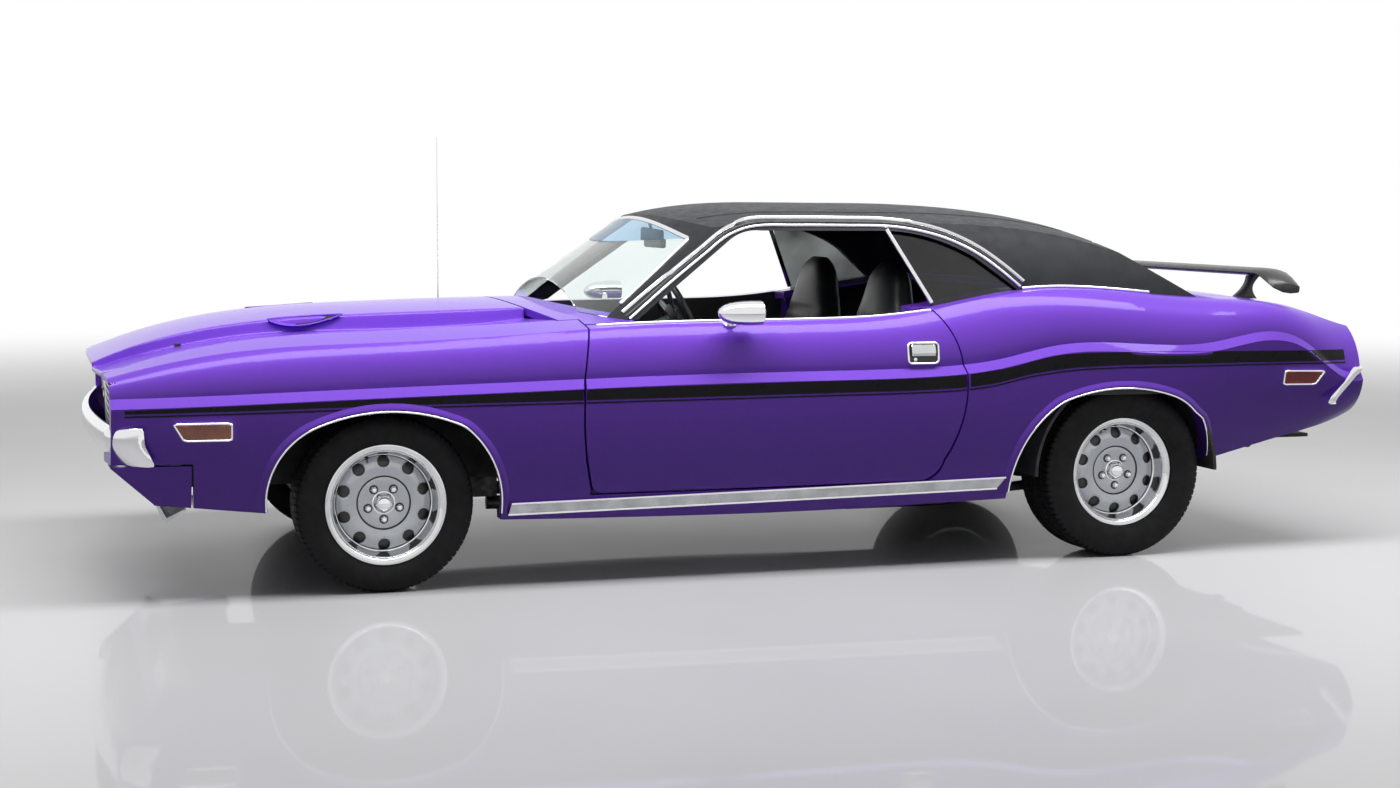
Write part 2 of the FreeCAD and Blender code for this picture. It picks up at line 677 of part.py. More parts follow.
def rear_window():
    return whole(glass_band(-glass * 1.6).common(rear_window_hole).common(roof_top).cut(outer))


def quarter_windows():
    """The fixed rear side panes, behind a raked leading bar."""
    pane = greenhouse(-60, 14, -60).cut(greenhouse(-80, 14 + glass, -80))
    bar_top, bar_foot = rear_axle - 880, rear_axle - 740
    wedge = prism_y([(bar_foot, 940), (bar_top, 1240), (bar_top + 700, 1240), (bar_top + 700, 940)], -OUTSIDE, 0)
    return both(whole(pane.common(side_window()).common(wedge).cut(outer)))


left_quarter = quarter_panel(LEFT)
for side_name, side in SIDES.items():
    solid("front_fender_" + side_name, front_fender(side))
    solid("door_" + side_name, door(side))
    solid("quarter_panel_" + side_name, sided(left_quarter, side))
solid("hood", hood())
solid("deck_lid", deck_lid())
solid("tail_panel", tail_panel())
solid("front_valance", whole(front_valance()))
solid("cowl", cowl())
solid("rockers", rockers())
solid("floor_pan", floor_pan())
solid("wheelhouses", wheelhouses(left_quarter))
solid("rear_shelf", rear_shelf())
solid("roof", roof())
solid("windshield", windshield())
solid("rear_window", rear_window())
solid("quarter_windows", quarter_windows())

# ---------------------------------------------------------------- bumpers, lamps and trim

def front_bumper():
    """A slim blade that follows the nose in plan, with ends wrapped round the fenders."""
    centre, corner = front_axle - 979, front_axle - 905
    wrap_x, wrap_y = front_axle - 790, half_width - 54
    outside = [(wrap_x, -wrap_y), ((corner - 4, -half_width + 116), (corner - 12, -half_width + 190)),
               ((centre, 0), (corner - 12, half_width - 190)), ((corner - 4, half_width - 116), (wrap_x, wrap_y)),
               (wrap_x, wrap_y - 14), ((corner + 10, half_width - 128), (corner + 2, half_width - 196)),
               ((centre + 14, 0), (corner + 2, -half_width + 196)),
               ((corner + 10, -half_width + 128), (wrap_x, -wrap_y + 14))]
    return prism_z(outside, 470, 592)


bumper = front_bumper()
keep_front = bumper.cut(prism_y([(front_axle - 1060, 592), (front_axle - 960, 592), (front_axle - 992, 540),
                                 (front_axle - 960, 470), (front_axle - 1060, 470)], -OUTSIDE, OUTSIDE))
bracket = box(front_axle - 960, support_x - 30, 290, 330, 476, 504)
solid("front_bumper", whole(keep_front.cut(outer).fuse([bracket, mirrored(bracket)])))


def rear_bumper():
    """A deeper blade across the tail, with ends wrapped round the quarter panels."""
    middle, wrap = rear_axle + 1087, rear_axle + 880
    bend, corner = rear_axle + 997, rear_axle + 1065
    wide, side, end = half_width - 36, half_width - 51, half_width - 126
    outside = [(wrap, -wide), (bend, -side), ((corner - 16, -half_width + 71), (corner, -end)),
               ((middle, 0), (corner, end)), ((corner - 16, half_width - 71), (bend, side)), (wrap, wide),
               (wrap, wide - 14), (bend - 4, side - 15), ((corner - 28, half_width - 83), (corner - 15, end - 4)),
               ((middle - 16, 0), (corner - 15, -end + 4)), ((corner - 28, -half_width + 83), (bend - 4, -side + 15)),
               (wrap, -wide + 14)]
    return prism_z(outside, 570, 700)


bracket = box(tail_x - 20, tail_x + 25, 380, 440, 600, 660)
solid("rear_bumper", whole(rear_bumper().fuse([bracket, mirrored(bracket)]).cut(outer)))


HEADLIGHT_Y = (-760, -590)
HEADLIGHT_Z = 628
HEADLIGHT_RADIUS = 72


def tube_x(x0, x1, y, z, radius):
    return Part.makeCylinder(radius, x1 - x0, Vector(x0, y, z), Vector(1, 0, 0))


def grille():
    """A recessed mesh frame across the nose with four lamp bays."""
    back = box(nose_x + 96, nose_x + 120, -OUTSIDE, OUTSIDE, GRILLE_LOW + 8, GRILLE_HIGH + 40)
    panel = back.common(inner)
    for y in HEADLIGHT_Y:
        bay = tube_x(nose_x + 60, nose_x + 140, y, HEADLIGHT_Z, HEADLIGHT_RADIUS + rest)
        panel = panel.cut(bay).cut(mirrored(bay))
    return whole(panel)


def headlights():
    lamps = []
    for y in HEADLIGHT_Y:
        bowl = tube_x(nose_x + 84, nose_x + 150, y, HEADLIGHT_Z, HEADLIGHT_RADIUS)
        lamps += [bowl, mirrored(bowl)]
    return Part.makeCompound(lamps)


solid("grille", grille())
solid("headlights", headlights())
lamp_box = box(tail_x - 80, tail_x + 80, 20, LAMP_HALF - 6, LAMP_LOW + 6, LAMP_HIGH - 6)
solid("tail_lights", both(whole(lamp_box.common(plan(8)).cut(plan(LAMP_DEPTH)))))
marker = box(front_axle - 700, front_axle - 520, -OUTSIDE, 0, 552, 605)
rear_marker = box(rear_axle + 665, rear_axle + 835, -OUTSIDE, 0, 645, 694)


def proud_of_skin(block, stand):
    """The part of a block between the skin and a skin moved outwards."""
    wider = envelope(-stand, 0, 0)
    return block.common(wider).cut(outer)


lamps = [whole(proud_of_skin(marker, 6)), whole(proud_of_skin(rear_marker, 6))]
solid("side_markers", Part.makeCompound(lamps + [mirrored(lamp) for lamp in lamps]))

# ---------------------------------------------------------------- wheels

RIM_PROFILE = [
    ("SpindleRadius + RunningClearance", "2"), ("84", "2"), ("96", "26"), (("128", "44"), ("160", "26")),
    ("160", "-48"), ("RimSeatRadius - RimWall", "-60"), ("RimSeatRadius - RimWall", "-RimWidth / 2"),
    (RIM_FLANGE, "-RimWidth / 2"), (RIM_FLANGE, "-RimWidth / 2 + RimWall"),
    ("RimSeatRadius", "-RimWidth / 2 + RimWall"), ("RimSeatRadius", "-56"), ("167", "-44"), ("167", "30"),
    ("RimSeatRadius", "56"), ("RimSeatRadius", "RimWidth / 2 - RimWall"),
    (RIM_FLANGE, "RimWidth / 2 - RimWall"), (RIM_FLANGE, "RimWidth / 2"),
    ("RimSeatRadius - RimWall", "RimWidth / 2"), ("RimSeatRadius - RimWall", "60"), ("164", "38"),
    (("128", "54"), ("92", "35")), ("76", "11"), ("34", "11"), ("20", "58"), ("0", "60"), ("0", "40"),
    ("SpindleRadius + RunningClearance", "40"),
]


def rim(label):
    body = new_body(label)
    turned = turn_profile(body, label + "_turn", sketch(body, label + "_section", "XY_Plane", RIM_PROFILE))
    doc.recompute()
    slot = sketch(body, label + "_slot_outline", "XZ_Plane",
                  [("110", "-15"), (("98", "0"), ("110", "15")), ("142", "15"), (("154", "0"), ("142", "-15"))])
    pocket = cut_through(body, label + "_slot", slot)
    ring_of(body, label + "_slots", pocket, slot, "N_Axis", "WheelSlots")
    return body


def tyre(label, radius, width):
    """A tyre in section: bead on the rim seat, bulged wall, shoulder, tread and four grooves."""
    edge = f"({width} / 2)"
    body = new_body(label)
    half = [("RimSeatRadius", "RimWidth / 2 - RimWall - RestClearance"),
            (RIM_FLANGE + " + 1", "RimWidth / 2 - RimWall - RestClearance"),
            (RIM_FLANGE + " + 2", f"{edge} - 12"),
            ((f"{RIM_FLANGE} + ({radius} - {RIM_FLANGE}) * 0.45", edge), (f"{radius} - 15", f"{edge} - 10")),
            ((f"{radius} - 4", f"{edge} - 17"), (radius, f"{edge} - 30")),
            (radius, "52"), (f"{radius} - 8", "50"), (f"{radius} - 8", "42"), (radius, "40"),
            (radius, "16"), (f"{radius} - 8", "14"), (f"{radius} - 8", "6"), (radius, "4")]
    other = []
    flip = lambda p: (p[0], f"-({p[1]})")
    corners = [p[1] if isinstance(p[0], tuple) else p for p in half]
    for index in range(len(half) - 1, -1, -1):
        point = half[index]
        if isinstance(point[0], tuple):
            other.append(flip(corners[index]))
            other.append((flip(point[0]), flip(corners[index - 1])))
        elif index + 1 < len(half) and isinstance(half[index + 1][0], tuple):
            continue
        else:
            other.append(flip(point))
    section = sketch(body, label + "_section", "XY_Plane", half + other)
    turn_profile(body, label + "_turn", section)
    return body


WHEELS = {
    "front_left": (FRONT_AXLE, "-FrontTrack / 2", "FrontTyreRadius", "FrontTyreWidth", LEFT),
    "front_right": (FRONT_AXLE, "FrontTrack / 2", "FrontTyreRadius", "FrontTyreWidth", RIGHT),
    "rear_left": (REAR_AXLE, "-RearTrack / 2", "RearTyreRadius", "RearTyreWidth", LEFT),
    "rear_right": (REAR_AXLE, "RearTrack / 2", "RearTyreRadius", "RearTyreWidth", RIGHT),
}
for name, (x, y, radius, width, side) in WHEELS.items():
    for body in (rim("rim_" + name), tyre("tyre_" + name, radius, width)):
        if side == LEFT:
            body.Placement.Rotation = Rotation(Vector(0, 0, 1), 180)
        bind(body, at_x=x, at_y=y, at_z=radius)

# ---------------------------------------------------------------- axles and suspension

kingpin_y = sheet.FrontTrack / 2 - 86
KINGPIN_LOW, KINGPIN_HIGH = front_hub - 100, front_hub + 95
HUB_FACE = 2


def knuckle(side):
    """Upright on the kingpin axis, with its brake drum and the spindle that the wheel turns on."""
    centre = -sheet.FrontTrack / 2
    upright = tube_z(front_axle, -kingpin_y, 20, KINGPIN_LOW, KINGPIN_HIGH)
    drum = tube_y(front_axle, front_hub, 132, centre - HUB_FACE + rest, -kingpin_y - 24)
    neck = tube_y(front_axle, front_hub, 34, -kingpin_y - 30, -kingpin_y)
    spindle = tube_y(front_axle, front_hub, sheet.SpindleRadius, centre - 38, -kingpin_y - 30)
    arm = box(front_axle, front_axle + 130, -kingpin_y - 9, -kingpin_y + 9, front_hub - 55, front_hub - 37)
    return sided(upright.fuse([drum, neck, spindle, arm]), side)


for side_name, side in SIDES.items():
    solid("knuckle_" + side_name, knuckle(side))


def front_suspension():
    """Crossmember with two control arms a side, which end in flat seats over and under the kingpins."""
    low_z, high_z = KINGPIN_LOW - 15, KINGPIN_HIGH + 30
    beam = box(front_axle - 55, front_axle + 55, -360, 360, low_z - 25, low_z + 45)
    low_seat = tube_z(front_axle, -kingpin_y, 24, KINGPIN_LOW - rest - 22, KINGPIN_LOW - rest)
    high_seat = tube_z(front_axle, -kingpin_y, 24, KINGPIN_HIGH + rest, KINGPIN_HIGH + rest + 20)
    arms = []
    for dx in (-150, 150):
        arms.append(rod((front_axle + dx, -APRON_Y + 8, low_z), (front_axle, -kingpin_y, low_z - 1), 13))
        arms.append(rod((front_axle + dx, -APRON_Y, high_z), (front_axle, -kingpin_y, high_z - 18), 10))
    link = rod((front_axle - 150, -APRON_Y + 8, low_z), (front_axle + 150, -APRON_Y + 8, low_z), 13)
    stay = rod((front_axle, -350, low_z + 5), (front_axle, -APRON_Y + 8, low_z), 22)
    half = low_seat.fuse(arms[0::2] + [link, stay])
    wall = box(front_axle - 300, front_axle + 300, -APRON_Y - APRON / 2, 0, 340, 600)
    upper = high_seat.fuse(arms[1::2]).cut(wall)
    left = beam.fuse([half, mirrored(half)])
    return Part.makeCompound([whole(left), upper, mirrored(upper)])


APRON_Y, APRON = 480, 12
solid("front_suspension", front_suspension())


AXLE_TUBE = 38


def rear_axle_beam():
    """Axle tube with its differential bowl, and a drum and spindle at each end."""
    centre = sheet.RearTrack / 2
    tube = tube_y(rear_axle, rear_hub, AXLE_TUBE, -centre + 60, centre - 60)
    bowl = Part.makeSphere(125, Vector(rear_axle, 0, rear_hub))
    nose = Part.makeCone(45, 70, 190, Vector(rear_axle - 280, 0, rear_hub), Vector(1, 0, 0))
    spindle = tube_y(rear_axle, rear_hub, sheet.SpindleRadius, -centre - 38, -centre + 60)
    drum = tube_y(rear_axle, rear_hub, 132, -centre - HUB_FACE + rest, -centre + 62)
    return tube.fuse([bowl, nose, spindle, mirrored(spindle), drum, mirrored(drum)])


solid("rear_axle", rear_axle_beam())

SPRING_Y = 550
SPRING_EYE = 20


def leaf_springs():
    """Two leaf packs under the axle tube, arched up to the floor at both ends."""
    x0, x1 = rear_axle - 520, rear_axle + 720
    z0, z1 = sheet.FloorHeight - SPRING_EYE, sheet.TrunkFloorHeight - SPRING_EYE
    high = rear_hub - AXLE_TUBE - rest
    points = [(x0, z0 - 6), ((rear_axle, high - 34), (x1, z1 - 6)), (x1, z1 + 6), ((rear_axle, high), (x0, z0 + 6))]
    y0, y1 = -SPRING_Y - 31, -SPRING_Y + 31
    eyes = [tube_y(x0, z0, SPRING_EYE, y0, y1), tube_y(x1, z1, SPRING_EYE, y0, y1)]
    return both(prism_y(points, y0, y1).fuse(eyes))


solid("leaf_springs", leaf_springs())


# ---------------------------------------------------------------- front structure and engine

def aprons():
    """Inner fender walls with the shelf that carries the fenders, from radiator support to firewall."""
    out_y, in_y = -APRON_Y - APRON / 2, -APRON_Y + APRON / 2
    points = [(out_y, 340), (out_y, 752), (-OUTSIDE, 752), (-OUTSIDE, 752 + APRON), (in_y, 752 + APRON), (in_y, 340)]
    wall = prism_x(points, support_x, firewall_x).common(inner)
    return both(whole(wall))


def radiator_support():
    """An upright frame round the radiator, with the hood's rest pads on its top rail."""
    frame = box(support_x - 30, support_x, -700, 700, 330, 770)
    window = box(support_x - 40, support_x + 10, -330, 330, 400, 720)
    core = box(support_x - 28, support_x - 2, -330, 330, 400, 720)
    return whole(frame.common(inner).cut(window).fuse(core))


solid("aprons", aprons())
solid("radiator_support", radiator_support())


def rest_pads():
    """Rubber rests under the hood and the deck lid, on the radiator support and the tail panel."""
    pads = []
    for x, y, low in ((support_x - 15, 400, 770), (tail_x - 50, 400, 760)):
        top = min(skin_height(x - 12, y), skin_height(x + 12, y)) - thin - rest
        pads += [tube_z(x, y, 12, low, top), tube_z(x, -y, 12, low, top)]
    return Part.makeCompound(pads)


solid("rest_pads", rest_pads())

engine = keep(doc.addObject("Part::Box", "engine"), "engine")
bind(engine, Length="660", Width="520", Height="520", at_x=FRONT_AXLE + " - 150", at_y="-260", at_z="235")


# ---------------------------------------------------------------- cabin

def dashboard():
    """A padded shelf behind the windshield with a raised cluster ahead of the driver."""
    x = front_axle + 628
    points = [(x, 640), (x, 880), ((x + 150, 925), (x + 270, 888)), (x + 285, 850), (x + 250, 720), (x + 120, 640)]
    half = cabin_half - POST_WIDTH
    return whole(prism_y(points, -half, half).common(inner))


solid("dashboard", dashboard())
seat_y = sheet.TunnelHalfWidth + sheet.SeatWidth / 2
WHEEL_X, WHEEL_Y, WHEEL_Z, WHEEL_TILT = front_axle + 1175, -seat_y, 905, 24


def column_point(along):
    lean = math.radians(WHEEL_TILT)
    return (WHEEL_X - along * math.cos(lean), WHEEL_Y, WHEEL_Z - along * math.sin(lean))


solid("steering_column", rod(column_point(30 + rest), column_point(330), 26).cut(dashboard()))
hub = Part.makeCylinder(30, 60, Vector(0, 0, -30))
ring = Part.makeTorus(sheet.SteeringWheelRadius - sheet.SteeringRimRadius, sheet.SteeringRimRadius,
                      Vector(0, 0, 20))
spokes = []
for turn in (0, 120, 240):
    spoke = box(20, sheet.SteeringWheelRadius - 16, -11, 11, 8, 16)
    spoke.rotate(Vector(0, 0, 0), Vector(0, 0, 1), turn + 90)
    spokes.append(spoke)
wheel = solid("steering_wheel", hub.fuse([ring] + spokes))
wheel.Placement = Placement(Vector(WHEEL_X, WHEEL_Y, WHEEL_Z), Rotation(Vector(0, 1, 0), 90 - WHEEL_TILT))


def bucket_seat(y):
    """Cushion and high back of one front seat, in side view, across its width."""
    x = front_axle + 1420
    half = sheet.SeatWidth / 2
    points = [(x, floor_top + 110), (x - 20, floor_top + 190), ((x, floor_top + 235), (x + 60, floor_top + 240)),
              (x + 400, floor_top + 215), ((x + 470, floor_top + 560), (x + 600, floor_top + 850)),
              ((x + 650, floor_top + 862), (x + 670, floor_top + 815)), (x + 560, floor_top + 300),
              (x + 520, floor_top + 110)]
    return prism_y(points, y - half, y + half)


def seat_base(y):
    x = front_axle + 1420
    return box(x + 60, x + 460, y - 190, y + 190, floor_top, floor_top + 110)


seats = [bucket_seat(-seat_y), bucket_seat(seat_y)]
solid("front_seats", Part.makeCompound(seats))
solid("seat_bases", Part.makeCompound([seat_base(-seat_y), seat_base(seat_y)]))


def rear_seat():
    x = rear_axle - 430
    points = [(x - 330, floor_top), (x - 330, floor_top + 190), (x - 10, floor_top + 205),
              (x + 150, floor_top + 620), (x + 250, floor_top + 620), (x + 250, floor_top + 300), (x + 50, floor_top)]
    bench = prism_y(points, -TRUNK_HALF + 20, TRUNK_HALF - 20)
    return whole(bench.cut(floor_pan()))


solid("rear_seat", rear_seat())

# ---------------------------------------------------------------- spoiler, mirrors, tank, exhaust, antenna

SPOILER_HALF = 750


def spoiler():
    """A wing with drooped ends on two raked legs that stand on the deck lid."""
    x = rear_axle + 575
    profile = [(x, 1079), ((x + 110, 1086), (x + 255, 1064)), ((x + 130, 1062), (x, 1072))]
    blade = prism_y(profile, -SPOILER_HALF, SPOILER_HALF)
    for y in (-560, 560):
        foot = skin_height(x + 150, y)
        leg = prism_y([(x + 95, foot - 30), (x + 205, foot - 30), (x + 215, 1072), (x + 150, 1072)], y - 12, y + 12)
        blade = blade.fuse(leg)
    return whole(blade.cut(outer))


solid("spoiler", spoiler())


def mirror(side):
    x, y, z = front_axle + 1190, -half_width + 16, 938
    shell = Part.makeSphere(62, Vector(0, 0, 0))
    stretch = FreeCAD.Matrix()
    stretch.scale(1.35, 1.1, 0.85)
    cup = shell.transformGeometry(stretch)
    cup.translate(Vector(x, y - 20, z + 12))
    cup = cup.cut(box(x + 62, x + 200, y - 200, y + 200, z - 200, z + 200))
    stalk = rod((x, y - 10, z - 10), (x - 10, y + 75, z - 75), 14)
    return sided(whole(cup.fuse(stalk).cut(outer)), side)


for side_name, side in SIDES.items():
    solid("mirror_" + side_name, mirror(side))

tank = keep(doc.addObject("Part::Box", "fuel_tank"), "fuel_tank")
bind(tank, Length="560", Width="760", Height="170", at_x=REAR_AXLE + " + 330", at_y="-380",
     at_z="TrunkFloorHeight - 170")


MUFFLER_RADIUS = 52


def exhaust():
    """Two pipes from the engine bay to the tail, with a muffler in each."""
    level = sheet.FloorHeight - rest - MUFFLER_RADIUS
    pipe = rod((front_axle + 480, -200, 205), (rear_axle - 890, -300, level), 26)
    muffler = rod((rear_axle - 900, -300, level), (rear_axle - 460, -300, level), MUFFLER_RADIUS)
    return both(pipe.fuse(muffler))


solid("exhaust", exhaust())
mast_x, mast_y = front_axle + 478, 770
mast_foot = skin_height(mast_x, mast_y)
mast = tube_z(mast_x, mast_y, 2.5, mast_foot - 10, mast_foot + 700)
base = Part.makeCone(20, 9, 32, Vector(mast_x, mast_y, mast_foot - 12))
solid("antenna", whole(mast.fuse(base).cut(outer)))

# ---------------------------------------------------------------- export

doc.recompute()
os.makedirs("parts", exist_ok=True)
for item in doc.Objects:
    if "Invalid" in item.State or "Error" in item.State:
        raise RuntimeError(item.Label + " failed to build")
for piece in pieces:
    if piece.Shape.isNull() or not piece.Shape.isValid():
        raise RuntimeError(piece.Label + " has no valid shape")
for piece in pieces:
    piece.Shape.exportStep("parts/" + piece.Label + ".step")
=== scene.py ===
import math

import bmesh
import bpy
from bpy.props import FloatProperty, FloatVectorProperty, IntProperty, PointerProperty
from bpy.types import Operator, Panel, PropertyGroup
from mathutils import Euler, Matrix, Vector
from mathutils.bvhtree import BVHTree


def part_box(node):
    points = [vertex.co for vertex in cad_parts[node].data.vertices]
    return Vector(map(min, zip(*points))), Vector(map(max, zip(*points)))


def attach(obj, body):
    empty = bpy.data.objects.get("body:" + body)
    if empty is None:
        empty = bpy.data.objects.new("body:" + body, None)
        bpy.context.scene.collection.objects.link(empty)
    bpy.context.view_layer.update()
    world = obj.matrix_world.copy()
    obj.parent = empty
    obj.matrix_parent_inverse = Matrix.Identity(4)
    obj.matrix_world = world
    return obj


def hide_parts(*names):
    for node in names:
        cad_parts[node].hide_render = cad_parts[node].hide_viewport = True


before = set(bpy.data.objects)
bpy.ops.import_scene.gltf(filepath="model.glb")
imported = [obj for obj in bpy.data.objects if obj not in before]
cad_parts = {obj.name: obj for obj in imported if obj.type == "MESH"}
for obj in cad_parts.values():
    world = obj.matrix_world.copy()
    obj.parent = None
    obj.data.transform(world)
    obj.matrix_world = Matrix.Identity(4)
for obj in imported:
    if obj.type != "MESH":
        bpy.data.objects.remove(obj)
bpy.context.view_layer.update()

bl_info = {
    "name": "Two-Door Muscle Car",
    "version": (1, 0, 0),
    "blender": (4, 5, 0),
    "location": "View3D > Sidebar > Muscle Car",
    "description": "Builds the paint, trim, wheels, glass and cabin of a two-door muscle car "
                   "round its CAD frame",
    "category": "Object",
}


# ---------------------------------------------------------------- sizes and colours

class CarSizes(PropertyGroup):
    stripe_lift: FloatProperty(name="Stripe thickness",
                               description="How far the side tape stands off the paint", default=0.0006,
                               unit="LENGTH")
    tread_depth: FloatProperty(name="Tread depth",
                               description="Depth of the grooves between the tread blocks", default=0.007,
                               unit="LENGTH")
    tread_pitches: IntProperty(name="Tread pitches", description="Tread blocks in one turn of a tyre",
                               default=84)
    lip_radius: FloatProperty(name="Wheel lip moulding",
                              description="Half the width of the wheel opening mouldings", default=0.0034,
                              unit="LENGTH")


def colour(name, words, default):
    """A colour of the panel."""
    return FloatVectorProperty(name=name, description=words, default=default, size=3, min=0, max=1,
                               subtype="COLOR")


class CarColours(PropertyGroup):
    body: colour("Body paint", "Metallic base coat of the body", (0.19, 0.055, 0.64))
    stripe: colour("Side stripe", "Tape stripe along both sides", (0.008, 0.008, 0.01))
    vinyl: colour("Roof vinyl", "Grained cover of the roof", (0.013, 0.014, 0.018))
    interior: colour("Trim vinyl", "Seats, door trims and dashboard", (0.014, 0.014, 0.016))
    rubber: colour("Tyre rubber", "Tyres, seals and rest pads", (0.009, 0.009, 0.01))
    silver: colour("Wheel silver", "Painted centres of the wheels", (0.42, 0.44, 0.47))
    amber: colour("Front marker lens", "Lenses of the front side markers", (0.75, 0.12, 0.01))
    red: colour("Rear lens", "Tail lamps and rear side markers", (0.45, 0.012, 0.01))
    glass: colour("Glass tint", "Colour of light that passes the windows", (0.86, 0.95, 0.93))
    floor: colour("Studio floor", "Pale floor round the car", (0.64, 0.64, 0.65))


# ---------------------------------------------------------------- materials

class Finish:
    """A Principled material: what is the same all over stays on its sockets, the rest comes from noise."""

    def __init__(self, name, base, roughness, metallic=0.0, **sockets):
        self.material = bpy.data.materials.new(name)
        self.material.use_nodes = True
        self.tree = self.material.node_tree
        self.shader = self.tree.nodes["Principled BSDF"]
        self.set("Base Color", (*base, 1))
        self.set("Roughness", roughness)
        self.set("Metallic", metallic)
        for socket, value in sockets.items():
            self.set(socket.replace("_", " ").title().replace("Ior", "IOR"), value)
        self.place = self.node("ShaderNodeTexCoord").outputs["Object"]
        self.normal = None

    def set(self, socket, value):
        self.shader.inputs[socket].default_value = value

    def node(self, kind, **settings):
        made = self.tree.nodes.new(kind)
        for key, value in settings.items():
            if key in made.inputs:
                made.inputs[key].default_value = value
            else:
                setattr(made, key, value)
        return made

    def link(self, start, end):
        self.tree.links.new(start, end)

    def texture(self, kind, stretch, output, **settings):
        """A texture over the piece's own coordinates, with those stretched first."""
        mapping = self.node("ShaderNodeMapping")
        mapping.inputs["Scale"].default_value = stretch
        texture = self.node(kind, **settings)
        self.link(self.place, mapping.inputs["Vector"])
        self.link(mapping.outputs["Vector"], texture.inputs["Vector"])
        return texture.outputs[output]

    def noise(self, scale, detail=3, stretch=(1, 1, 1)):
        """Cloudy noise from 0 to 1."""
        return self.texture("ShaderNodeTexNoise", stretch, "Fac", Scale=scale, Detail=detail)

    def cells(self, scale):
        """Distance to the nearest of many scattered points, for a leather-like grain."""
        return self.texture("ShaderNodeTexVoronoi", (1, 1, 1), "Distance", feature="F1", Scale=scale,
                            Randomness=1.0)

    def ramp(self, fac, stops):
        """A colour ramp: stops are (position, colour or grey)."""
        ramp = self.node("ShaderNodeValToRGB")
        points = ramp.color_ramp.elements
        while len(points) < len(stops):
            points.new(0.5)
        for point, (position, shade) in zip(points, stops):
            point.position = position
            point.color = (shade, shade, shade, 1) if isinstance(shade, (int, float)) else (*shade, 1)
        self.link(fac, ramp.inputs["Fac"])
        return ramp.outputs["Color"]

    def vary(self, socket, fac, stops):
        self.link(self.ramp(fac, stops), self.shader.inputs[socket])
        return self

    def tint(self, fac, low, high, spread=(0.35, 0.65)):
        """Base colour that wanders between two shades of itself."""
        base = self.shader.inputs["Base Color"].default_value[:3]
        dark, pale = [c * low for c in base], [min(1, c * high) for c in base]
        return self.vary("Base Color", fac, [(spread[0], dark), (spread[1], pale)])

    def bump(self, height, distance, strength=1.0):
        bump = self.node("ShaderNodeBump", Strength=strength, Distance=distance)
        self.link(height, bump.inputs["Height"])
        if self.normal:
            self.link(self.normal, bump.inputs["Normal"])
        self.normal = bump.outputs["Normal"]
        self.link(self.normal, self.shader.inputs["Normal"])
        return self


def around(value, spread):
    """Ramp stops for a roughness that wanders about a value."""
    return [(0.3, value - spread), (0.7, value + spread)]


# What the clear panes share.
PANE = dict(transmission_weight=1.0, ior=1.03, coat_weight=1.0, coat_roughness=0.01, coat_ior=1.5)
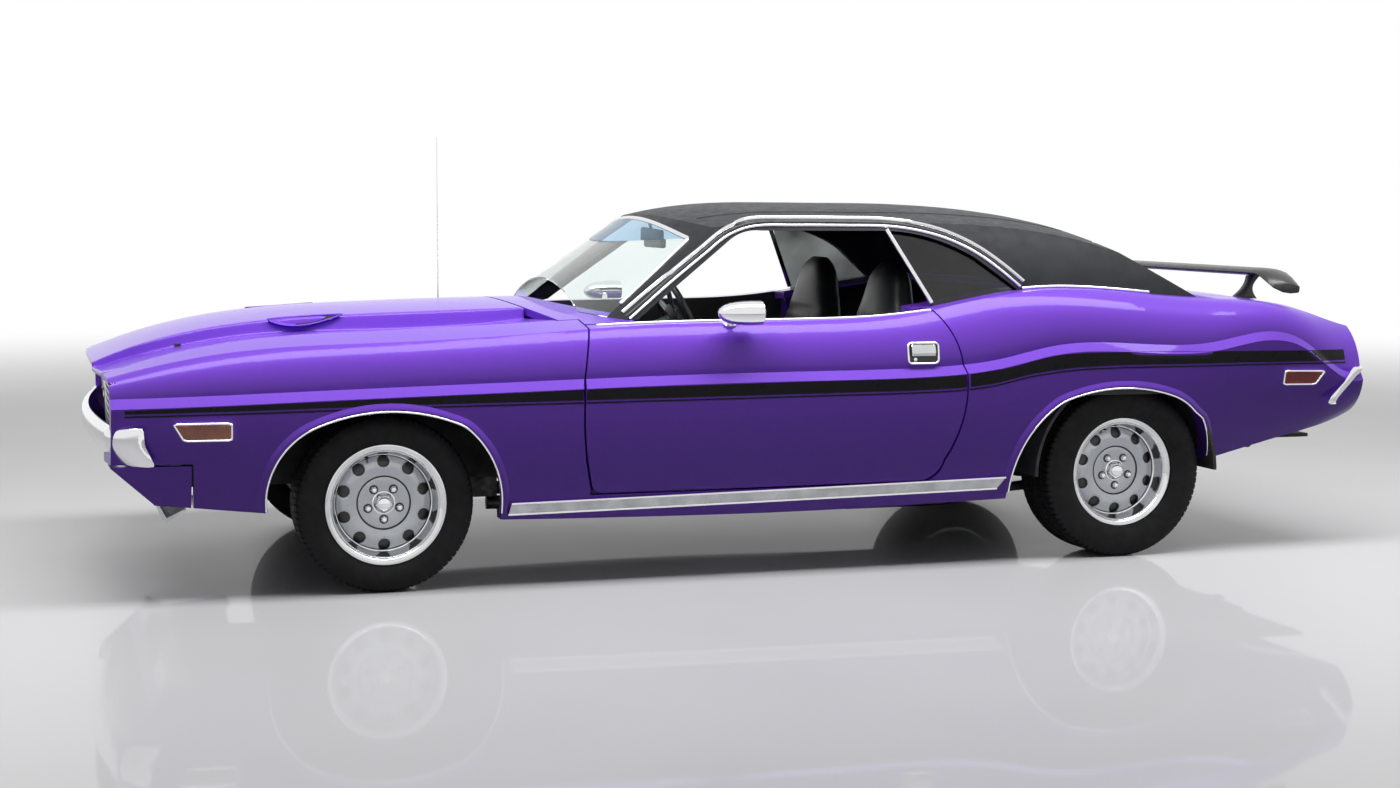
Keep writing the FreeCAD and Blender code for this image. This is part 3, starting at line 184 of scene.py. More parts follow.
# Each finish: its base colour, as numbers or as a colour of the panel and a factor; roughness; metallic;
# other sockets; its tint as (noise, low, high, ...); its roughness as (noise, stops); and its bumps as
# (texture, distance, strength). A noise is (scale, detail, ...); a bump's texture with one number is grain.
FINISHES = {
    "metallic_paint": (("body", 1), 0.36, 0.06,
                       dict(specular_ior_level=0.1, coat_weight=0.6, coat_roughness=0.02, coat_ior=1.33),
                       ((900, 1), 0.85, 1.18, (0.3, 0.7)), ((1.5,), around(0.36, 0.03)),
                       [((1400, 1), 0.0001, 0.1)]),
    "stripe_tape": (("stripe", 1), 0.3, 0, dict(specular_ior_level=0.15),
                    ((6,), 0.8, 1.3), ((25,), around(0.3, 0.04)), [((600, 1), 0.0001, 0.15)]),
    "roof_vinyl": (("vinyl", 1), 0.5, 0, dict(specular_ior_level=0.22),
                   ((9,), 0.8, 1.35), ((30,), around(0.47, 0.07)),
                   [((420,), 0.0006, 0.45), ((160, 2), 0.0005, 0.3)]),
    "chrome": ((0.74, 0.75, 0.77), 0.06, 1, {},
               ((5,), 0.93, 1.08), ((14,), [(0.35, 0.035), (0.7, 0.1)]), [((260, 1), 0.0001, 0.05)]),
    "polished_steel": ((0.7, 0.71, 0.72), 0.16, 1, dict(anisotropic=0.4),
                       ((7,), 0.88, 1.1), ((30,), around(0.15, 0.05)), [((120, 2), 0.0002, 0.08)]),
    "wheel_silver": (("silver", 1), 0.33, 0.85, dict(coat_weight=0.5, coat_roughness=0.1),
                     ((700, 1), 0.85, 1.2), ((20,), around(0.33, 0.05)), [((900, 1), 0.0001, 0.12)]),
    "satin_trim": ((0.46, 0.47, 0.48), 0.34, 0.9, {},
                   ((15,), 0.85, 1.15), ((40,), around(0.33, 0.06)), [((400, 1), 0.0001, 0.1)]),
    "satin_black": ((0.012, 0.012, 0.013), 0.38, 0, dict(coat_weight=0.3, coat_roughness=0.2),
                    ((12,), 0.7, 1.5), ((35,), around(0.38, 0.06)), [((500, 2), 0.0001, 0.2)]),
    # Flat black is painted shade: the sheet in each hood intake stands for the dark inside of its opening.
    "flat_black": ((0.004, 0.004, 0.0045), 0.75, 0, {}, ((20,), 0.6, 1.6), ((30,), around(0.75, 0.08)), []),
    "mirror_glass": ((0.8, 0.82, 0.83), 0.02, 1, {}, ((8,), 0.97, 1.02), None, []),
    "tyre_rubber": (("rubber", 1), 0.62, 0, dict(specular_ior_level=0.2),
                    ((18,), 0.7, 1.6), ((30,), around(0.6, 0.08)), [((700, 2), 0.0002, 0.25)]),
    "trim_vinyl": (("interior", 1), 0.42, 0, {},
                   ((14,), 0.7, 1.5), ((45,), around(0.42, 0.07)),
                   [((520,), 0.0004, 0.35), ((60, 3), 0.0006, 0.25)]),
    "underbody_paint": ((0.03, 0.028, 0.03), 0.68, 0, {},
                        ((8,), 0.6, 1.7), ((22,), around(0.66, 0.12)), [((90, 4), 0.0012, 0.4)]),
    "cast_iron": ((0.075, 0.072, 0.07), 0.55, 0.7, {},
                  ((26,), 0.55, 1.6), ((40,), around(0.55, 0.12)), [((220, 3), 0.0008, 0.4)]),
    "amber_lens": (("amber", 1), 0.14, 0, dict(coat_weight=1.0, coat_roughness=0.03,
                                               transmission_weight=0.15),
                   ((20,), 0.75, 1.2), None, [((160,), 0.001, 0.5)]),
    "red_lens": (("red", 1), 0.14, 0, dict(coat_weight=1.0, coat_roughness=0.03, transmission_weight=0.1),
                 ((20,), 0.7, 1.3), None, [((140,), 0.001, 0.5)]),
    "lamp_glass": ((0.9, 0.92, 0.93), 0.05, 0, dict(transmission_weight=0.85, ior=1.45),
                   ((30,), 0.92, 1.05), None, [((70, 0, (1, 6, 0.3)), 0.004, 0.5)]),
    "window_glass": (("glass", 1.0), 0.015, 0, PANE, ((3,), 0.94, 1.0), ((5,), [(0.3, 0.0), (0.7, 0.02)]),
                     []),
    "dark_glass": (("glass", 0.24), 0.015, 0, PANE, ((3,), 0.22, 1.0), ((5,), [(0.3, 0.0), (0.7, 0.02)]),
                   []),
    "shade_glass": ((0.3, 0.52, 0.78), 0.02, 0, dict(PANE, ior=1.02, coat_weight=0.6),
                    ((4,), 0.92, 1.05), ((5,), [(0.3, 0.0), (0.7, 0.03)]), []),
    "seat_vinyl": (("interior", 1), 0.42, 0, dict(coat_weight=0.15, coat_roughness=0.3),
                   ((6,), 0.8, 1.25), ((9,), around(0.42, 0.08)), [((520,), 0.0004, 0.35)]),
}


def make_finishes(colours):
    """All the car's materials."""
    for name, (base, rough, metallic, sockets, tint, stops, bumps) in FINISHES.items():
        if isinstance(base[0], str):
            base = [part * base[1] for part in getattr(colours, base[0])]
        finish = Finish(name, base, rough, metallic, **sockets)
        finish.tint(finish.noise(*tint[0]), *tint[1:])
        if stops:
            finish.vary("Roughness", finish.noise(*stops[0]), stops[1])
        for texture, distance, strength in bumps:
            height = finish.cells(*texture) if len(texture) == 1 else finish.noise(*texture)
            finish.bump(height, distance, strength)


NODE_FINISHES = {
    "metallic_paint": ["front_fender_left", "front_fender_right", "hood", "door_left", "door_right",
                       "rockers",
                       "quarter_panel_left", "quarter_panel_right", "deck_lid", "cowl", "rear_shelf",
                       "front_valance", "tail_panel"],
    "roof_vinyl": ["roof"],
    "chrome": ["antenna"],
    "satin_black": ["grille", "rest_pads", "steering_column"],
    "trim_vinyl": ["dashboard"],
    "underbody_paint": ["aprons", "floor_pan", "radiator_support", "seat_bases", "wheelhouses"],
    "cast_iron": ["engine", "exhaust", "front_suspension", "knuckle_left", "knuckle_right", "leaf_springs",
                  "rear_axle"],
    "window_glass": ["windshield", "rear_window"],
    "dark_glass": ["quarter_windows"],
    "lamp_glass": ["headlights"],
    "red_lens": ["tail_lights"],
}


class CAR_OT_finishes(Operator):
    """Give every CAD node that stays visible its own finish"""
    bl_idname = "muscle_car.finishes"
    bl_label = "Finishes"

    def execute(self, context):
        make_finishes(context.scene.car_colours)
        for name, nodes in NODE_FINISHES.items():
            for node in nodes:
                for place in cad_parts[node].material_slots:
                    place.material = bpy.data.materials[name]
        return {"FINISHED"}


# ---------------------------------------------------------------- mesh tools

WELD_DISTANCE = 0.00002
CROWN_STEPS = 6
EDGE_HALVINGS = 16
# How far rays look, and where they start beside and above the car.
RAY_REACH, BESIDE_CAR, ABOVE_CAR = 9.0, 1.4, 1.6


def line_through(table):
    """A smooth curve through (position, value) pairs, as a function of position."""
    xs, ys = zip(*table)
    slopes = []
    for i in range(len(xs)):
        a, b = max(0, i - 1), min(len(xs) - 1, i + 1)
        slopes.append((ys[b] - ys[a]) / (xs[b] - xs[a]))

    def at(x):
        i = max(0, min(len(xs) - 2, sum(x > limit for limit in xs[1:-1])))
        step = xs[i + 1] - xs[i]
        t = min(1, max(0, (x - xs[i]) / step))
        h = (2 * t**3 - 3 * t**2 + 1, t**3 - 2 * t**2 + t, -2 * t**3 + 3 * t**2, t**3 - t**2)
        return h[0] * ys[i] + h[1] * step * slopes[i] + h[2] * ys[i + 1] + h[3] * step * slopes[i + 1]
    return at


def spread(start, end, count):
    """Evenly spaced numbers from start to end."""
    return [start + (end - start) * i / (count - 1) for i in range(count)]


def smooth_path(points, count):
    """Evenly counted points along a smooth curve through the given ones."""
    lengths = [0.0]
    for a, b in zip(points, points[1:]):
        lengths.append(lengths[-1] + (Vector(b) - Vector(a)).length)
    axes = [line_through(list(zip(lengths, [p[k] for p in points]))) for k in range(3)]
    return [Vector([axis(s) for axis in axes]) for s in spread(0, lengths[-1], count)]


class Shape:
    """Points and faces of one piece, gathered before its mesh is made."""

    def __init__(self):
        self.points, self.faces = [], []

    def add(self, points, faces):
        base = len(self.points)
        self.points += [Vector(p) for p in points]
        self.faces += [[base + i for i in face] for face in faces]

    def grid(self, rows, loop=False, ring=False):
        """Quads between rows of points; loop closes each row, ring joins the last row to the first."""
        wide, deep = len(rows[0]), len(rows)
        faces = []
        for r in range(deep if ring else deep - 1):
            for c in range(wide if loop else wide - 1):
                n, m = (r + 1) % deep, (c + 1) % wide
                faces.append((r * wide + c, r * wide + m, n * wide + m, n * wide + c))
        self.add([p for row in rows for p in row], faces)

    def sweep(self, path, section, normals, closed=False):
        """A closed section of (across, out) offsets carried along a path; the ends are capped."""
        rows = []
        count = len(path)
        for i, point in enumerate(path):
            before = path[i - 1] if i or closed else path[0]
            after = path[(i + 1) % count] if i < count - 1 or closed else path[-1]
            along = (Vector(after) - Vector(before)).normalized()
            out = normals[i] if isinstance(normals, list) else normals
            out = (out - along * out.dot(along)).normalized()
            across = out.cross(along)
            rows.append([Vector(point) + across * a + out * b for a, b in section])
        base = len(self.points)
        self.grid(rows, loop=True, ring=closed)
        if not closed:
            wide = len(section)
            self.faces.append([base + i for i in reversed(range(wide))])
            self.faces.append([base + (count - 1) * wide + i for i in range(wide)])

    def lathe(self, profile, steps, place=None):
        """A profile of (radius, distance along the axle) turned about the Y axis, then placed."""
        rows = []
        for k in range(steps):
            turn = 2 * math.pi * k / steps
            rows.append([Vector((r * math.cos(turn), y, r * math.sin(turn))) for r, y in profile])
        if place:
            rows = [[place @ p for p in row] for row in rows]
        self.grid(rows, ring=True)

    def block(self, low, high, bevel=0.0):
        """A box with bevelled edges."""
        made = bmesh.new()
        bmesh.ops.create_cube(made, size=1)
        low, high = Vector(low), Vector(high)
        for v in made.verts:
            v.co = Vector([low[k] + (v.co[k] + 0.5) * (high[k] - low[k]) for k in range(3)])
        if bevel:
            bmesh.ops.bevel(made, geom=list(made.edges), offset=bevel, segments=3, profile=0.6,
                            affect="EDGES")
        made.verts.index_update()
        self.add([v.co for v in made.verts], [[v.index for v in f.verts] for f in made.faces])
        made.free()

    def mirror(self):
        """The same points again on the other side of the car."""
        points = [Vector((p.x, -p.y, p.z)) for p in self.points]
        self.add(points, [list(reversed(face)) for face in self.faces])

    def make(self, name, finish, body, slot, replaces=(), sharp=40, subdivide=0, thick=0.0):
        """The finished piece: edges over sharp degrees stay crisp, and it rides on a body."""
        mesh = bpy.data.meshes.new(name)
        mesh.from_pydata(self.points, [], self.faces)
        mesh.materials.append(bpy.data.materials[finish])
        mesh.polygons.foreach_set("use_smooth", [True] * len(mesh.polygons))
        tidy = bmesh.new()
        tidy.from_mesh(mesh)
        bmesh.ops.remove_doubles(tidy, verts=tidy.verts, dist=WELD_DISTANCE)
        bmesh.ops.recalc_face_normals(tidy, faces=tidy.faces)
        tidy.to_mesh(mesh)
        tidy.free()
        mesh.set_sharp_from_angle(angle=math.radians(sharp))
        made = bpy.data.objects.new(name, mesh)
        bpy.context.scene.collection.objects.link(made)
        if thick:
            shell = made.modifiers.new("thickness", "SOLIDIFY")
            shell.thickness, shell.offset = thick, 0
        if subdivide:
            made.modifiers.new("smooth", "SUBSURF").levels = subdivide
            made.modifiers["smooth"].render_levels = subdivide
        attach(made, body)
        if replaces:
            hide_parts(*replaces)
        return made


def placed(point, degrees, axis):
    """A place at a point, turned about one axis."""
    return Matrix.Translation(point) @ Matrix.Rotation(math.radians(degrees), 4, axis)


def round_section(radius, sides=10, flat=1.0):
    """A round or oval bar's section."""
    return [(radius * math.cos(2 * math.pi * k / sides), flat * radius * math.sin(2 * math.pi * k / sides))
            for k in range(sides)]


def crowned(width, height):
    """A moulding's section: crowned face and a flat back that sinks under the surface."""
    half, sunk = width / 2, -height * 0.4
    turns = [math.pi * k / CROWN_STEPS for k in range(CROWN_STEPS + 1)]
    return [(-half, sunk), *((-half * math.cos(turn), height * math.sin(turn)) for turn in turns),
            (half, sunk)]


def rounded_loop(count, across, up, powers):
    """(across, up) pairs round a rectangle with rounded corners; lower powers make them tighter."""
    loop = []
    for k in range(count):
        turn = 2 * math.pi * k / count
        c, s = math.cos(turn), math.sin(turn)
        loop.append((across * math.copysign(abs(c) ** powers[0], c),
                     up * math.copysign(abs(s) ** powers[1], s)))
    return loop


class Skin:
    """Rays against some of the CAD nodes."""

    def __init__(self, *nodes):
        self.trees = {}
        for node in nodes:
            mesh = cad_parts[node].data
            self.trees[node] = BVHTree.FromPolygons([v.co for v in mesh.vertices],
                                                    [list(p.vertices) for p in mesh.polygons])

    def hit(self, start, direction):
        """The nearest (point, normal, node), or None."""
        best, near = None, RAY_REACH
        for node, tree in self.trees.items():
            point, normal, _, distance = tree.ray_cast(Vector(start), Vector(direction), near)
            if point is not None:
                if normal.dot(Vector(direction)) > 0:
                    normal = -normal
                best, near = (point, normal, node), distance
        return best

    def side(self, x, z, side):
        """The hit from beside the car."""
        return self.hit((x, side * BESIDE_CAR, z), (0, -side, 0))

    def top(self, x, y):
        """The hit from above the car."""
        return self.hit((x, y, ABOVE_CAR), (0, 0, -1))


def edge_between(test, inside, outside):
    """The last place, going from inside to outside, where a test still holds."""
    for _ in range(EDGE_HALVINGS):
        middle = (inside + outside) / 2
        if test(middle):
            inside = middle
        else:
            outside = middle
    return inside


LEFT, RIGHT = -1, 1
SIDES = {LEFT: "left", RIGHT: "right"}


# ---------------------------------------------------------------- stripes and mouldings

CREASE = line_through([(-2.332, 0.655), (-1.95, 0.667), (-1.45, 0.68), (-1.0, 0.69), (-0.6, 0.699),
                       (0.0, 0.705), (0.55, 0.711), (0.8, 0.735), (1.02, 0.78), (1.25, 0.788), (1.7, 0.783),
                       (2.1, 0.777), (2.46, 0.771)])
STRIPE_LOW = line_through([(-2.33, 0.628), (-1.9, 0.634), (-1.45, 0.64), (-0.722, 0.643), (0.013, 0.646),
                           (0.55, 0.65), (0.75, 0.664), (0.933, 0.7), (1.15, 0.72), (1.619, 0.722),
                           (2.3, 0.718)])
FRONT_AXLE, REAR_AXLE = -1.451, 1.343
FRONT_HUB, REAR_HUB = 0.305, 0.322
SIDE_PANELS = {"front_fender": "body", "door": "door", "quarter_panel": "body"}
PANEL_ENDS = {"front_fender": ((-2.0, -2.31), (-0.8, -0.7)), "door": ((-0.6, -0.85), (0.5, 0.72)),
              "quarter_panel": ((0.75, 0.5), (2.0, 2.3))}


# How far out a hit has to be to lie on the outer face of a panel, at a wheel opening or on the sill.
PANEL_FACE, ARCH_FACE, SILL_FACE = 0.86, 0.84, 0.8


def panel_span(skin, kind, height, side):
    """Where a panel's outer face starts and ends along a curve of height over X."""
    def on_face(x):
        found = skin.side(x, height(x), side)
        return bool(found) and abs(found[0].y) > PANEL_FACE
    return [edge_between(on_face, inside, outside) for inside, outside in PANEL_ENDS[kind]]


def drape(skin, kind, side, top, low, lift, count, levels):
    """A band laid on one panel between two curves of height, ending in line with the panel's edges."""
    rows = []
    for share in spread(0, 1, levels):
        def height(x):
            return top(x) * (1 - share) + low(x) * share
        x0, x1 = panel_span(skin, kind, height, side)
        found = [skin.side(x, height(x), side) for x in spread(x0 + 0.0012, x1 - 0.0012, count)]
        rows.append([point + normal * lift for point, normal, _ in found])
    return rows


# Each wheel opening: axle, hub height, panel, and the directions in degrees that it runs between.
ARCHES = {"front": (FRONT_AXLE, FRONT_HUB, "front_fender", -6, 186),
          "rear": (REAR_AXLE, REAR_HUB, "quarter_panel", 8, 187)}
# The rolled lip's section: (distance out from the opening's edge, how far it stands off the panel).
FLARE = ((0.0, 0.0105), (0.006, 0.0098), (0.014, 0.0068), (0.021, 0.0025), (0.025, 0.0004))


def arch_edge(skin, end, side, degrees):
    """How far the edge of a wheel opening is from its axle in one direction, or None."""
    x, z = ARCHES[end][:2]
    turn = math.radians(degrees)

    def on_face(radius):
        found = skin.side(x + radius * math.cos(turn), z + radius * math.sin(turn), side)
        return bool(found) and abs(found[0].y) > ARCH_FACE
    far = next((r for r in spread(0.4, 0.52, 13) if on_face(r)), None)
    return None if far is None else edge_between(on_face, far, 0.3)


def arch_outline(skin, end, side):
    """Direction and radius all round a wheel opening, smoothed along its length."""
    start, stop = ARCHES[end][3:]
    found = [(d, arch_edge(skin, end, side, d)) for d in spread(start, stop, 121)]
    found = [(math.radians(d), r) for d, r in found if r]
    radii = [r for _, r in found]
    for _ in range(3):
        inner = [(a + 2 * b + c) / 4 for a, b, c in zip(radii, radii[1:], radii[2:])]
        radii = radii[:1] + inner + radii[-1:]
    return [(turn, r) for (turn, _), r in zip(found, radii)]


def over_arch(skin, kind, side):
    """The height of the rolled lip's outer edge over X, and 0 where there is no wheel opening."""
    end = "front" if kind == "front_fender" else "rear"
    if kind == "door":
        return lambda x: 0.0
    axle, hub = ARCHES[end][:2]
    beyond_lip = FLARE[-1][0] + 0.003
    line = sorted((axle + (r + beyond_lip) * math.cos(turn), hub + (r + beyond_lip) * math.sin(turn))
                  for turn, r in arch_outline(skin, end, side) if math.sin(turn) > 0.4)
    height = line_through(line)
    return lambda x: height(x) if line[0][0] <= x <= line[-1][0] else 0.0


class CAR_OT_stripes(Operator):
    """Black tape stripe under the crease of each side, with a fine line below it"""
    bl_idname = "muscle_car.stripes"
    bl_label = "Side stripes"

    def execute(self, context):
        lift = context.scene.car_sizes.stripe_lift
        for side, word in SIDES.items():
            for kind, body in SIDE_PANELS.items():
                skin = Skin(f"{kind}_{word}")
                lip = over_arch(skin, kind, side)
                made = Shape()
                made.grid(drape(skin, kind, side, lambda x: CREASE(x) - 0.003,
                                lambda x: max(STRIPE_LOW(x) + 0.013, lip(x)), lift, 130, 4))
                for row, faces in self.pinstripe(skin, kind, side, lip, lift):
                    made.add(row, faces)
                made.make(f"stripe_{kind}_{word}", "stripe_tape", f"door_{word}" if body == "door" else body,
                          "dark", sharp=80)
        return {"FINISHED"}

    def pinstripe(self, skin, kind, side, lip, lift):
        """The fine line's rows, left out where a wheel lip crosses it."""
        rows = drape(skin, kind, side, lambda x: max(STRIPE_LOW(x) + 0.0065, lip(x)),
                     lambda x: max(STRIPE_LOW(x) + 0.001, lip(x)), lift, 200, 2)
        for i in range(199):
            corners = [rows[0][i], rows[0][i + 1], rows[1][i + 1], rows[1][i]]
            if corners[0].z - corners[3].z > 0.002 and corners[1].z - corners[2].z > 0.002:
                yield corners, [(0, 1, 2, 3)]


class CAR_OT_wheel_lips(Operator):
    """Bright mouldings and rolled, painted lips round the four wheel openings"""
    bl_idname = "muscle_car.wheel_lips"
    bl_label = "Wheel lips"

    def execute(self, context):
        radius = context.scene.car_sizes.lip_radius
        for side, word in SIDES.items():
            for end, (x, z, kind, _, _) in ARCHES.items():
                skin = Skin(f"{kind}_{word}")
                edge, flare = [], []
                for turn, reach in arch_outline(skin, end, side):
                    inward = Vector((-math.cos(turn), 0, -math.sin(turn)))
                    row = []
                    for out, lift in FLARE:
                        r = reach + 0.002 + out
                        found = skin.side(x + r * math.cos(turn), z + r * math.sin(turn), side)
                        if found and abs(found[0].y) > ARCH_FACE:
                            row.append(found[0] + Vector((0, side * lift, 0)))
                    if len(row) < len(FLARE):
                        continue
                    flare.append([row[0] + inward * 0.002 - Vector((0, side * 0.012, 0)),
                                  row[0] + inward * 0.002 - Vector((0, side * 0.002, 0))] + row)
                    edge.append(row[0] + inward * 0.003 - Vector((0, side * 0.001, 0)))
                lip = Shape()
                lip.grid(flare)
                lip.make(f"lip_{end}_{word}", "metallic_paint", "body", "paint", sharp=60)
                trim = Shape()
                trim.sweep(edge, round_section(radius, 12, 0.9), Vector((0, side, 0)))
                trim.make(f"lip_moulding_{end}_{word}", "chrome", "body", "chrome")
        return {"FINISHED"}


SILL_TOP = line_through([(-1.03, 0.298), (0.85, 0.325)])
SILL_LOW = line_through([(-1.03, 0.252), (0.85, 0.277)])
# The moulding's section as (share of its height, how far it stands off), its distance out where the panels
# leave a gap, and the deepest dip between neighbouring points that it follows.
SILL_FORM = ((1.0, 0.0), (0.93, 0.008), (0.5, 0.01), (0.07, 0.008), (0.0, 0.0))
SILL_REACH, SILL_DIP = 0.862, 0.004


class CAR_OT_sill_mouldings(Operator):
    """Wide bright mouldings along the sills, satin between two polished edges"""
    bl_idname = "muscle_car.sill_mouldings"
    bl_label = "Sill mouldings"

    def execute(self, context):
        for side, word in SIDES.items():
            skin = Skin(f"front_fender_{word}", "rockers", f"quarter_panel_{word}", f"door_{word}")
            face, edges = Shape(), Shape()
            rows = []
            for share, lift in SILL_FORM:
                places = [(x, SILL_LOW(x) + (SILL_TOP(x) - SILL_LOW(x)) * share)
                          for x in spread(-1.03 + 0.01 * share, 0.85 - 0.035 * (1 - share), 60)]
                ys = []
                for x, z in places:
                    found = skin.side(x, z, side)
                    ys.append(found[0].y if found and abs(found[0].y) > SILL_FACE else side * SILL_REACH)
                row = []
                for i, (x, z) in enumerate(places):
                    widest = max(abs(y) for y in ys[max(0, i - 2):i + 3])
                    y = side * widest if abs(ys[i]) < widest - SILL_DIP else ys[i]
                    row.append(Vector((x, y + side * lift, z)))
                rows.append(row)
            face.grid(rows)
            face.make(f"sill_moulding_{word}", "satin_trim", "body", "silver_trim", sharp=50)
            for row in (rows[1], rows[3]):
                edges.sweep(row, [(a, b + 0.001) for a, b in round_section(0.0042, 8, 0.8)],
                            Vector((0, side, 0)))
            edges.make(f"sill_moulding_edges_{word}", "chrome", "body", "chrome")
        return {"FINISHED"}


WINDOW_LINE = [(-0.556, 0.915), (-0.4, 1.035), (-0.25, 1.143), (-0.156, 1.208), (-0.06, 1.24), (0.1, 1.244),
               (0.3, 1.243), (0.46, 1.24), (0.56, 1.228), (0.66, 1.204), (0.74, 1.172), (0.81, 1.132),
               (0.88, 1.078), (0.948, 1.018)]


def beyond(line, distance):
    """A side-view line moved outwards from the window opening."""
    moved = []
    for i, (x, z) in enumerate(line):
        a, b = line[max(0, i - 1)], line[min(len(line) - 1, i + 1)]
        along = Vector((b[0] - a[0], b[1] - a[1])).normalized()
        moved.append((x - along.y * distance, z + along.x * distance))
    return moved


def side_line(skin, line, side, count, lift=0.0):
    """Points and normals where a side-view line meets the skin."""
    path, normals = [], []
    for p in smooth_path([(x, 0, z) for x, z in line], count):
        found = skin.side(p.x, p.z, side)
        if found and abs(found[0].y) > 0.4:
            path.append(found[0] + found[1] * lift)
            normals.append(found[1])
    return path, normals


class CAR_OT_window_mouldings(Operator):
    """Bright drip rails, window frames, vinyl edges and the bar of each quarter window"""
    bl_idname = "muscle_car.window_mouldings"
    bl_label = "Window mouldings"

    def execute(self, context):
        for side, word in SIDES.items():
            roof = Skin("roof")
            trim = Shape()
            for distance, width, height in ((0.009, 0.013, 0.007), (0.034, 0.016, 0.011)):
                path, normals = side_line(roof, beyond(WINDOW_LINE, distance), side, 90)
                trim.sweep(path, crowned(width, height), normals)
            bar = [(0.455, 1.236), (0.49, 1.17), (0.53, 1.09), (0.565, 1.02), (0.606, 0.935)]
            glass = Skin("quarter_windows", "roof")
            path, normals = side_line(glass, bar, side, 20, 0.002)
            trim.sweep(path, crowned(0.018, 0.008), normals)
            trim.make(f"window_mouldings_{word}", "chrome", "body", "chrome")

            seal = Shape()
            path, normals = side_line(roof, beyond(WINDOW_LINE, 0.0215), side, 90)
            seal.sweep(path, crowned(0.011, 0.004), normals)
            seal.make(f"drip_channel_{word}", "satin_black", "body", "dark")

            both = Skin("roof", f"quarter_panel_{word}")
            edge = []
            for x in spread(0.958, 1.5, 40):
                def on_panel(z):
                    found = both.side(x, z, side)
                    return bool(found) and found[2] != "roof"
                z = edge_between(on_panel, 0.95, 1.08)
                found = both.side(x, z + 0.004, side)
                if found:
                    edge.append((found[0], found[1]))
            vinyl = Shape()
            vinyl.sweep([p + n * 0.001 for p, n in edge], crowned(0.014, 0.007), [n for _, n in edge])
            vinyl.make(f"vinyl_edge_{word}", "chrome", "body", "chrome")

            door = Skin(f"door_{word}")
            belt = []
            for x in spread(-0.7, 0.555, 60):
                def on_door(z):
                    return bool(door.side(x, z, side))
                z = edge_between(on_door, 0.85, 1.02) - 0.003
                found = door.side(x, z, side)
                belt.append(found[0])
            strip = Shape()
            strip.sweep(belt, crowned(0.012, 0.007), Vector((0, side * 0.6, 0.8)))
            strip.make(f"belt_moulding_{word}", "chrome", f"door_{word}", "chrome")
        return {"FINISHED"}


# A height above the glass of the windshield and the rear window.
OVER_GLASS = 1.4


class CAR_OT_windshield_trim(Operator):
    """Bright surround of the windshield and rear window, and the seams of the roof cover"""
    bl_idname = "muscle_car.windshield_trim"
    bl_label = "Windshield trim"

    def execute(self, context):
        trim = Shape()
        for node, way, start, low in (("windshield", 1, -2.0, 0.965), ("rear_window", -1, 3.0, 1.03)):
            glass = Skin(node)

            def seen(y, z):
                return glass.hit((start, y, z), (way, 0, 0))
            side_top = edge_between(lambda z: seen(0.5, z) is not None, low, OVER_GLASS)
            sides = [(edge_between(lambda y: seen(y, z) is not None, 0.1, 0.8), z)
                     for z in spread(low, side_top, 28)]
            across = sides[-1][0]
            header = [(y, edge_between(lambda z: seen(y, z) is not None, low, OVER_GLASS))
                      for y in spread(-across, across, 40)[1:-1]]
            path = [(-y, z) for y, z in sides] + header + sides[::-1]
            normals = []
            points = []
            for y, z in path:
                found = seen(y * 0.998, z - 0.001 if z > low + 0.002 else z)
                if found:
                    points.append(found[0])
                    normals.append(found[1])
            trim.sweep(points, crowned(0.018, 0.007), normals)
        trim.make("windshield_surround", "chrome", "body", "chrome")
        roof = Skin("roof")
        seams = Shape()
        for side in SIDES:
            path, normals = [], []
            for x in spread(-0.22, 1.28, 60):
                found = roof.top(x, side * 0.46)
                if found:
                    path.append(found[0])
                    normals.append(found[1])
            seams.sweep(path, crowned(0.007, 0.0022), normals)
        seams.make("roof_seams", "roof_vinyl", "body", "vinyl")
        return {"FINISHED"}


class CAR_OT_markers(Operator):
    """Bright bezels round the side marker lamps, with the front ones amber"""
    bl_idname = "muscle_car.markers"
    bl_label = "Side markers"

    def execute(self, context):
        outlines = {"front": ("front_fender", [(-2.156, 0.607), (-1.969, 0.607), (-1.969, 0.55),
                                               (-2.122, 0.55)]),
                    "rear": ("quarter_panel", [(2.005, 0.697), (2.181, 0.693), (2.147, 0.642),
                                               (2.005, 0.644)])}
        for side, word in SIDES.items():
            for end, (kind, corners) in outlines.items():
                skin = Skin(f"{kind}_{word}")
                middle = [sum(c[k] for c in corners) / 4 for k in (0, 1)]
                loop = []
                for i, corner in enumerate(corners):
                    before, after = corners[i - 1], corners[(i + 1) % 4]
                    for near, share in ((before, 0.07), (after, 0.07)):
                        loop.append([corner[k] + (near[k] - corner[k]) * share for k in (0, 1)])
                path = []
                for i, a in enumerate(loop):
                    b = loop[(i + 1) % len(loop)]
                    steps = 10 if i % 2 else 2
                    path += [[a[k] + (b[k] - a[k]) * t / steps for k in (0, 1)] for t in range(steps)]
                on_skin = []
                for x, z in path:
                    found = skin.side(x, z, side)
                    on_skin.append(found[0] + Vector((0, side * 0.004, 0)))
                bezel = Shape()
                bezel.sweep(on_skin, crowned(0.0095, 0.008), Vector((0, side, 0)), closed=True)
                bezel.make(f"marker_bezel_{end}_{word}", "chrome", "body", "chrome")
                lens = Shape()
                rows = []
                for share, lift in ((1.0, 0.004), (0.86, 0.0085), (0.5, 0.0098), (0.02, 0.0102)):
                    row = []
                    for x, z in path:
                        px, pz = middle[0] + (x - middle[0]) * share, middle[1] + (z - middle[1]) * share
                        found = skin.side(px, pz, side)
                        row.append(found[0] + Vector((0, side * lift, 0)))
                    rows.append(row)
                lens.grid(rows, loop=True)
                lens.make(f"marker_lens_{end}_{word}", "amber_lens" if end == "front" else "red_lens",
                          "body", "red_lens", ("side_markers",))
        return {"FINISHED"}


# The handle's frame in side view: X from and to, Z from and to.
HANDLE_BOX = (0.434, 0.551, 0.757, 0.83)


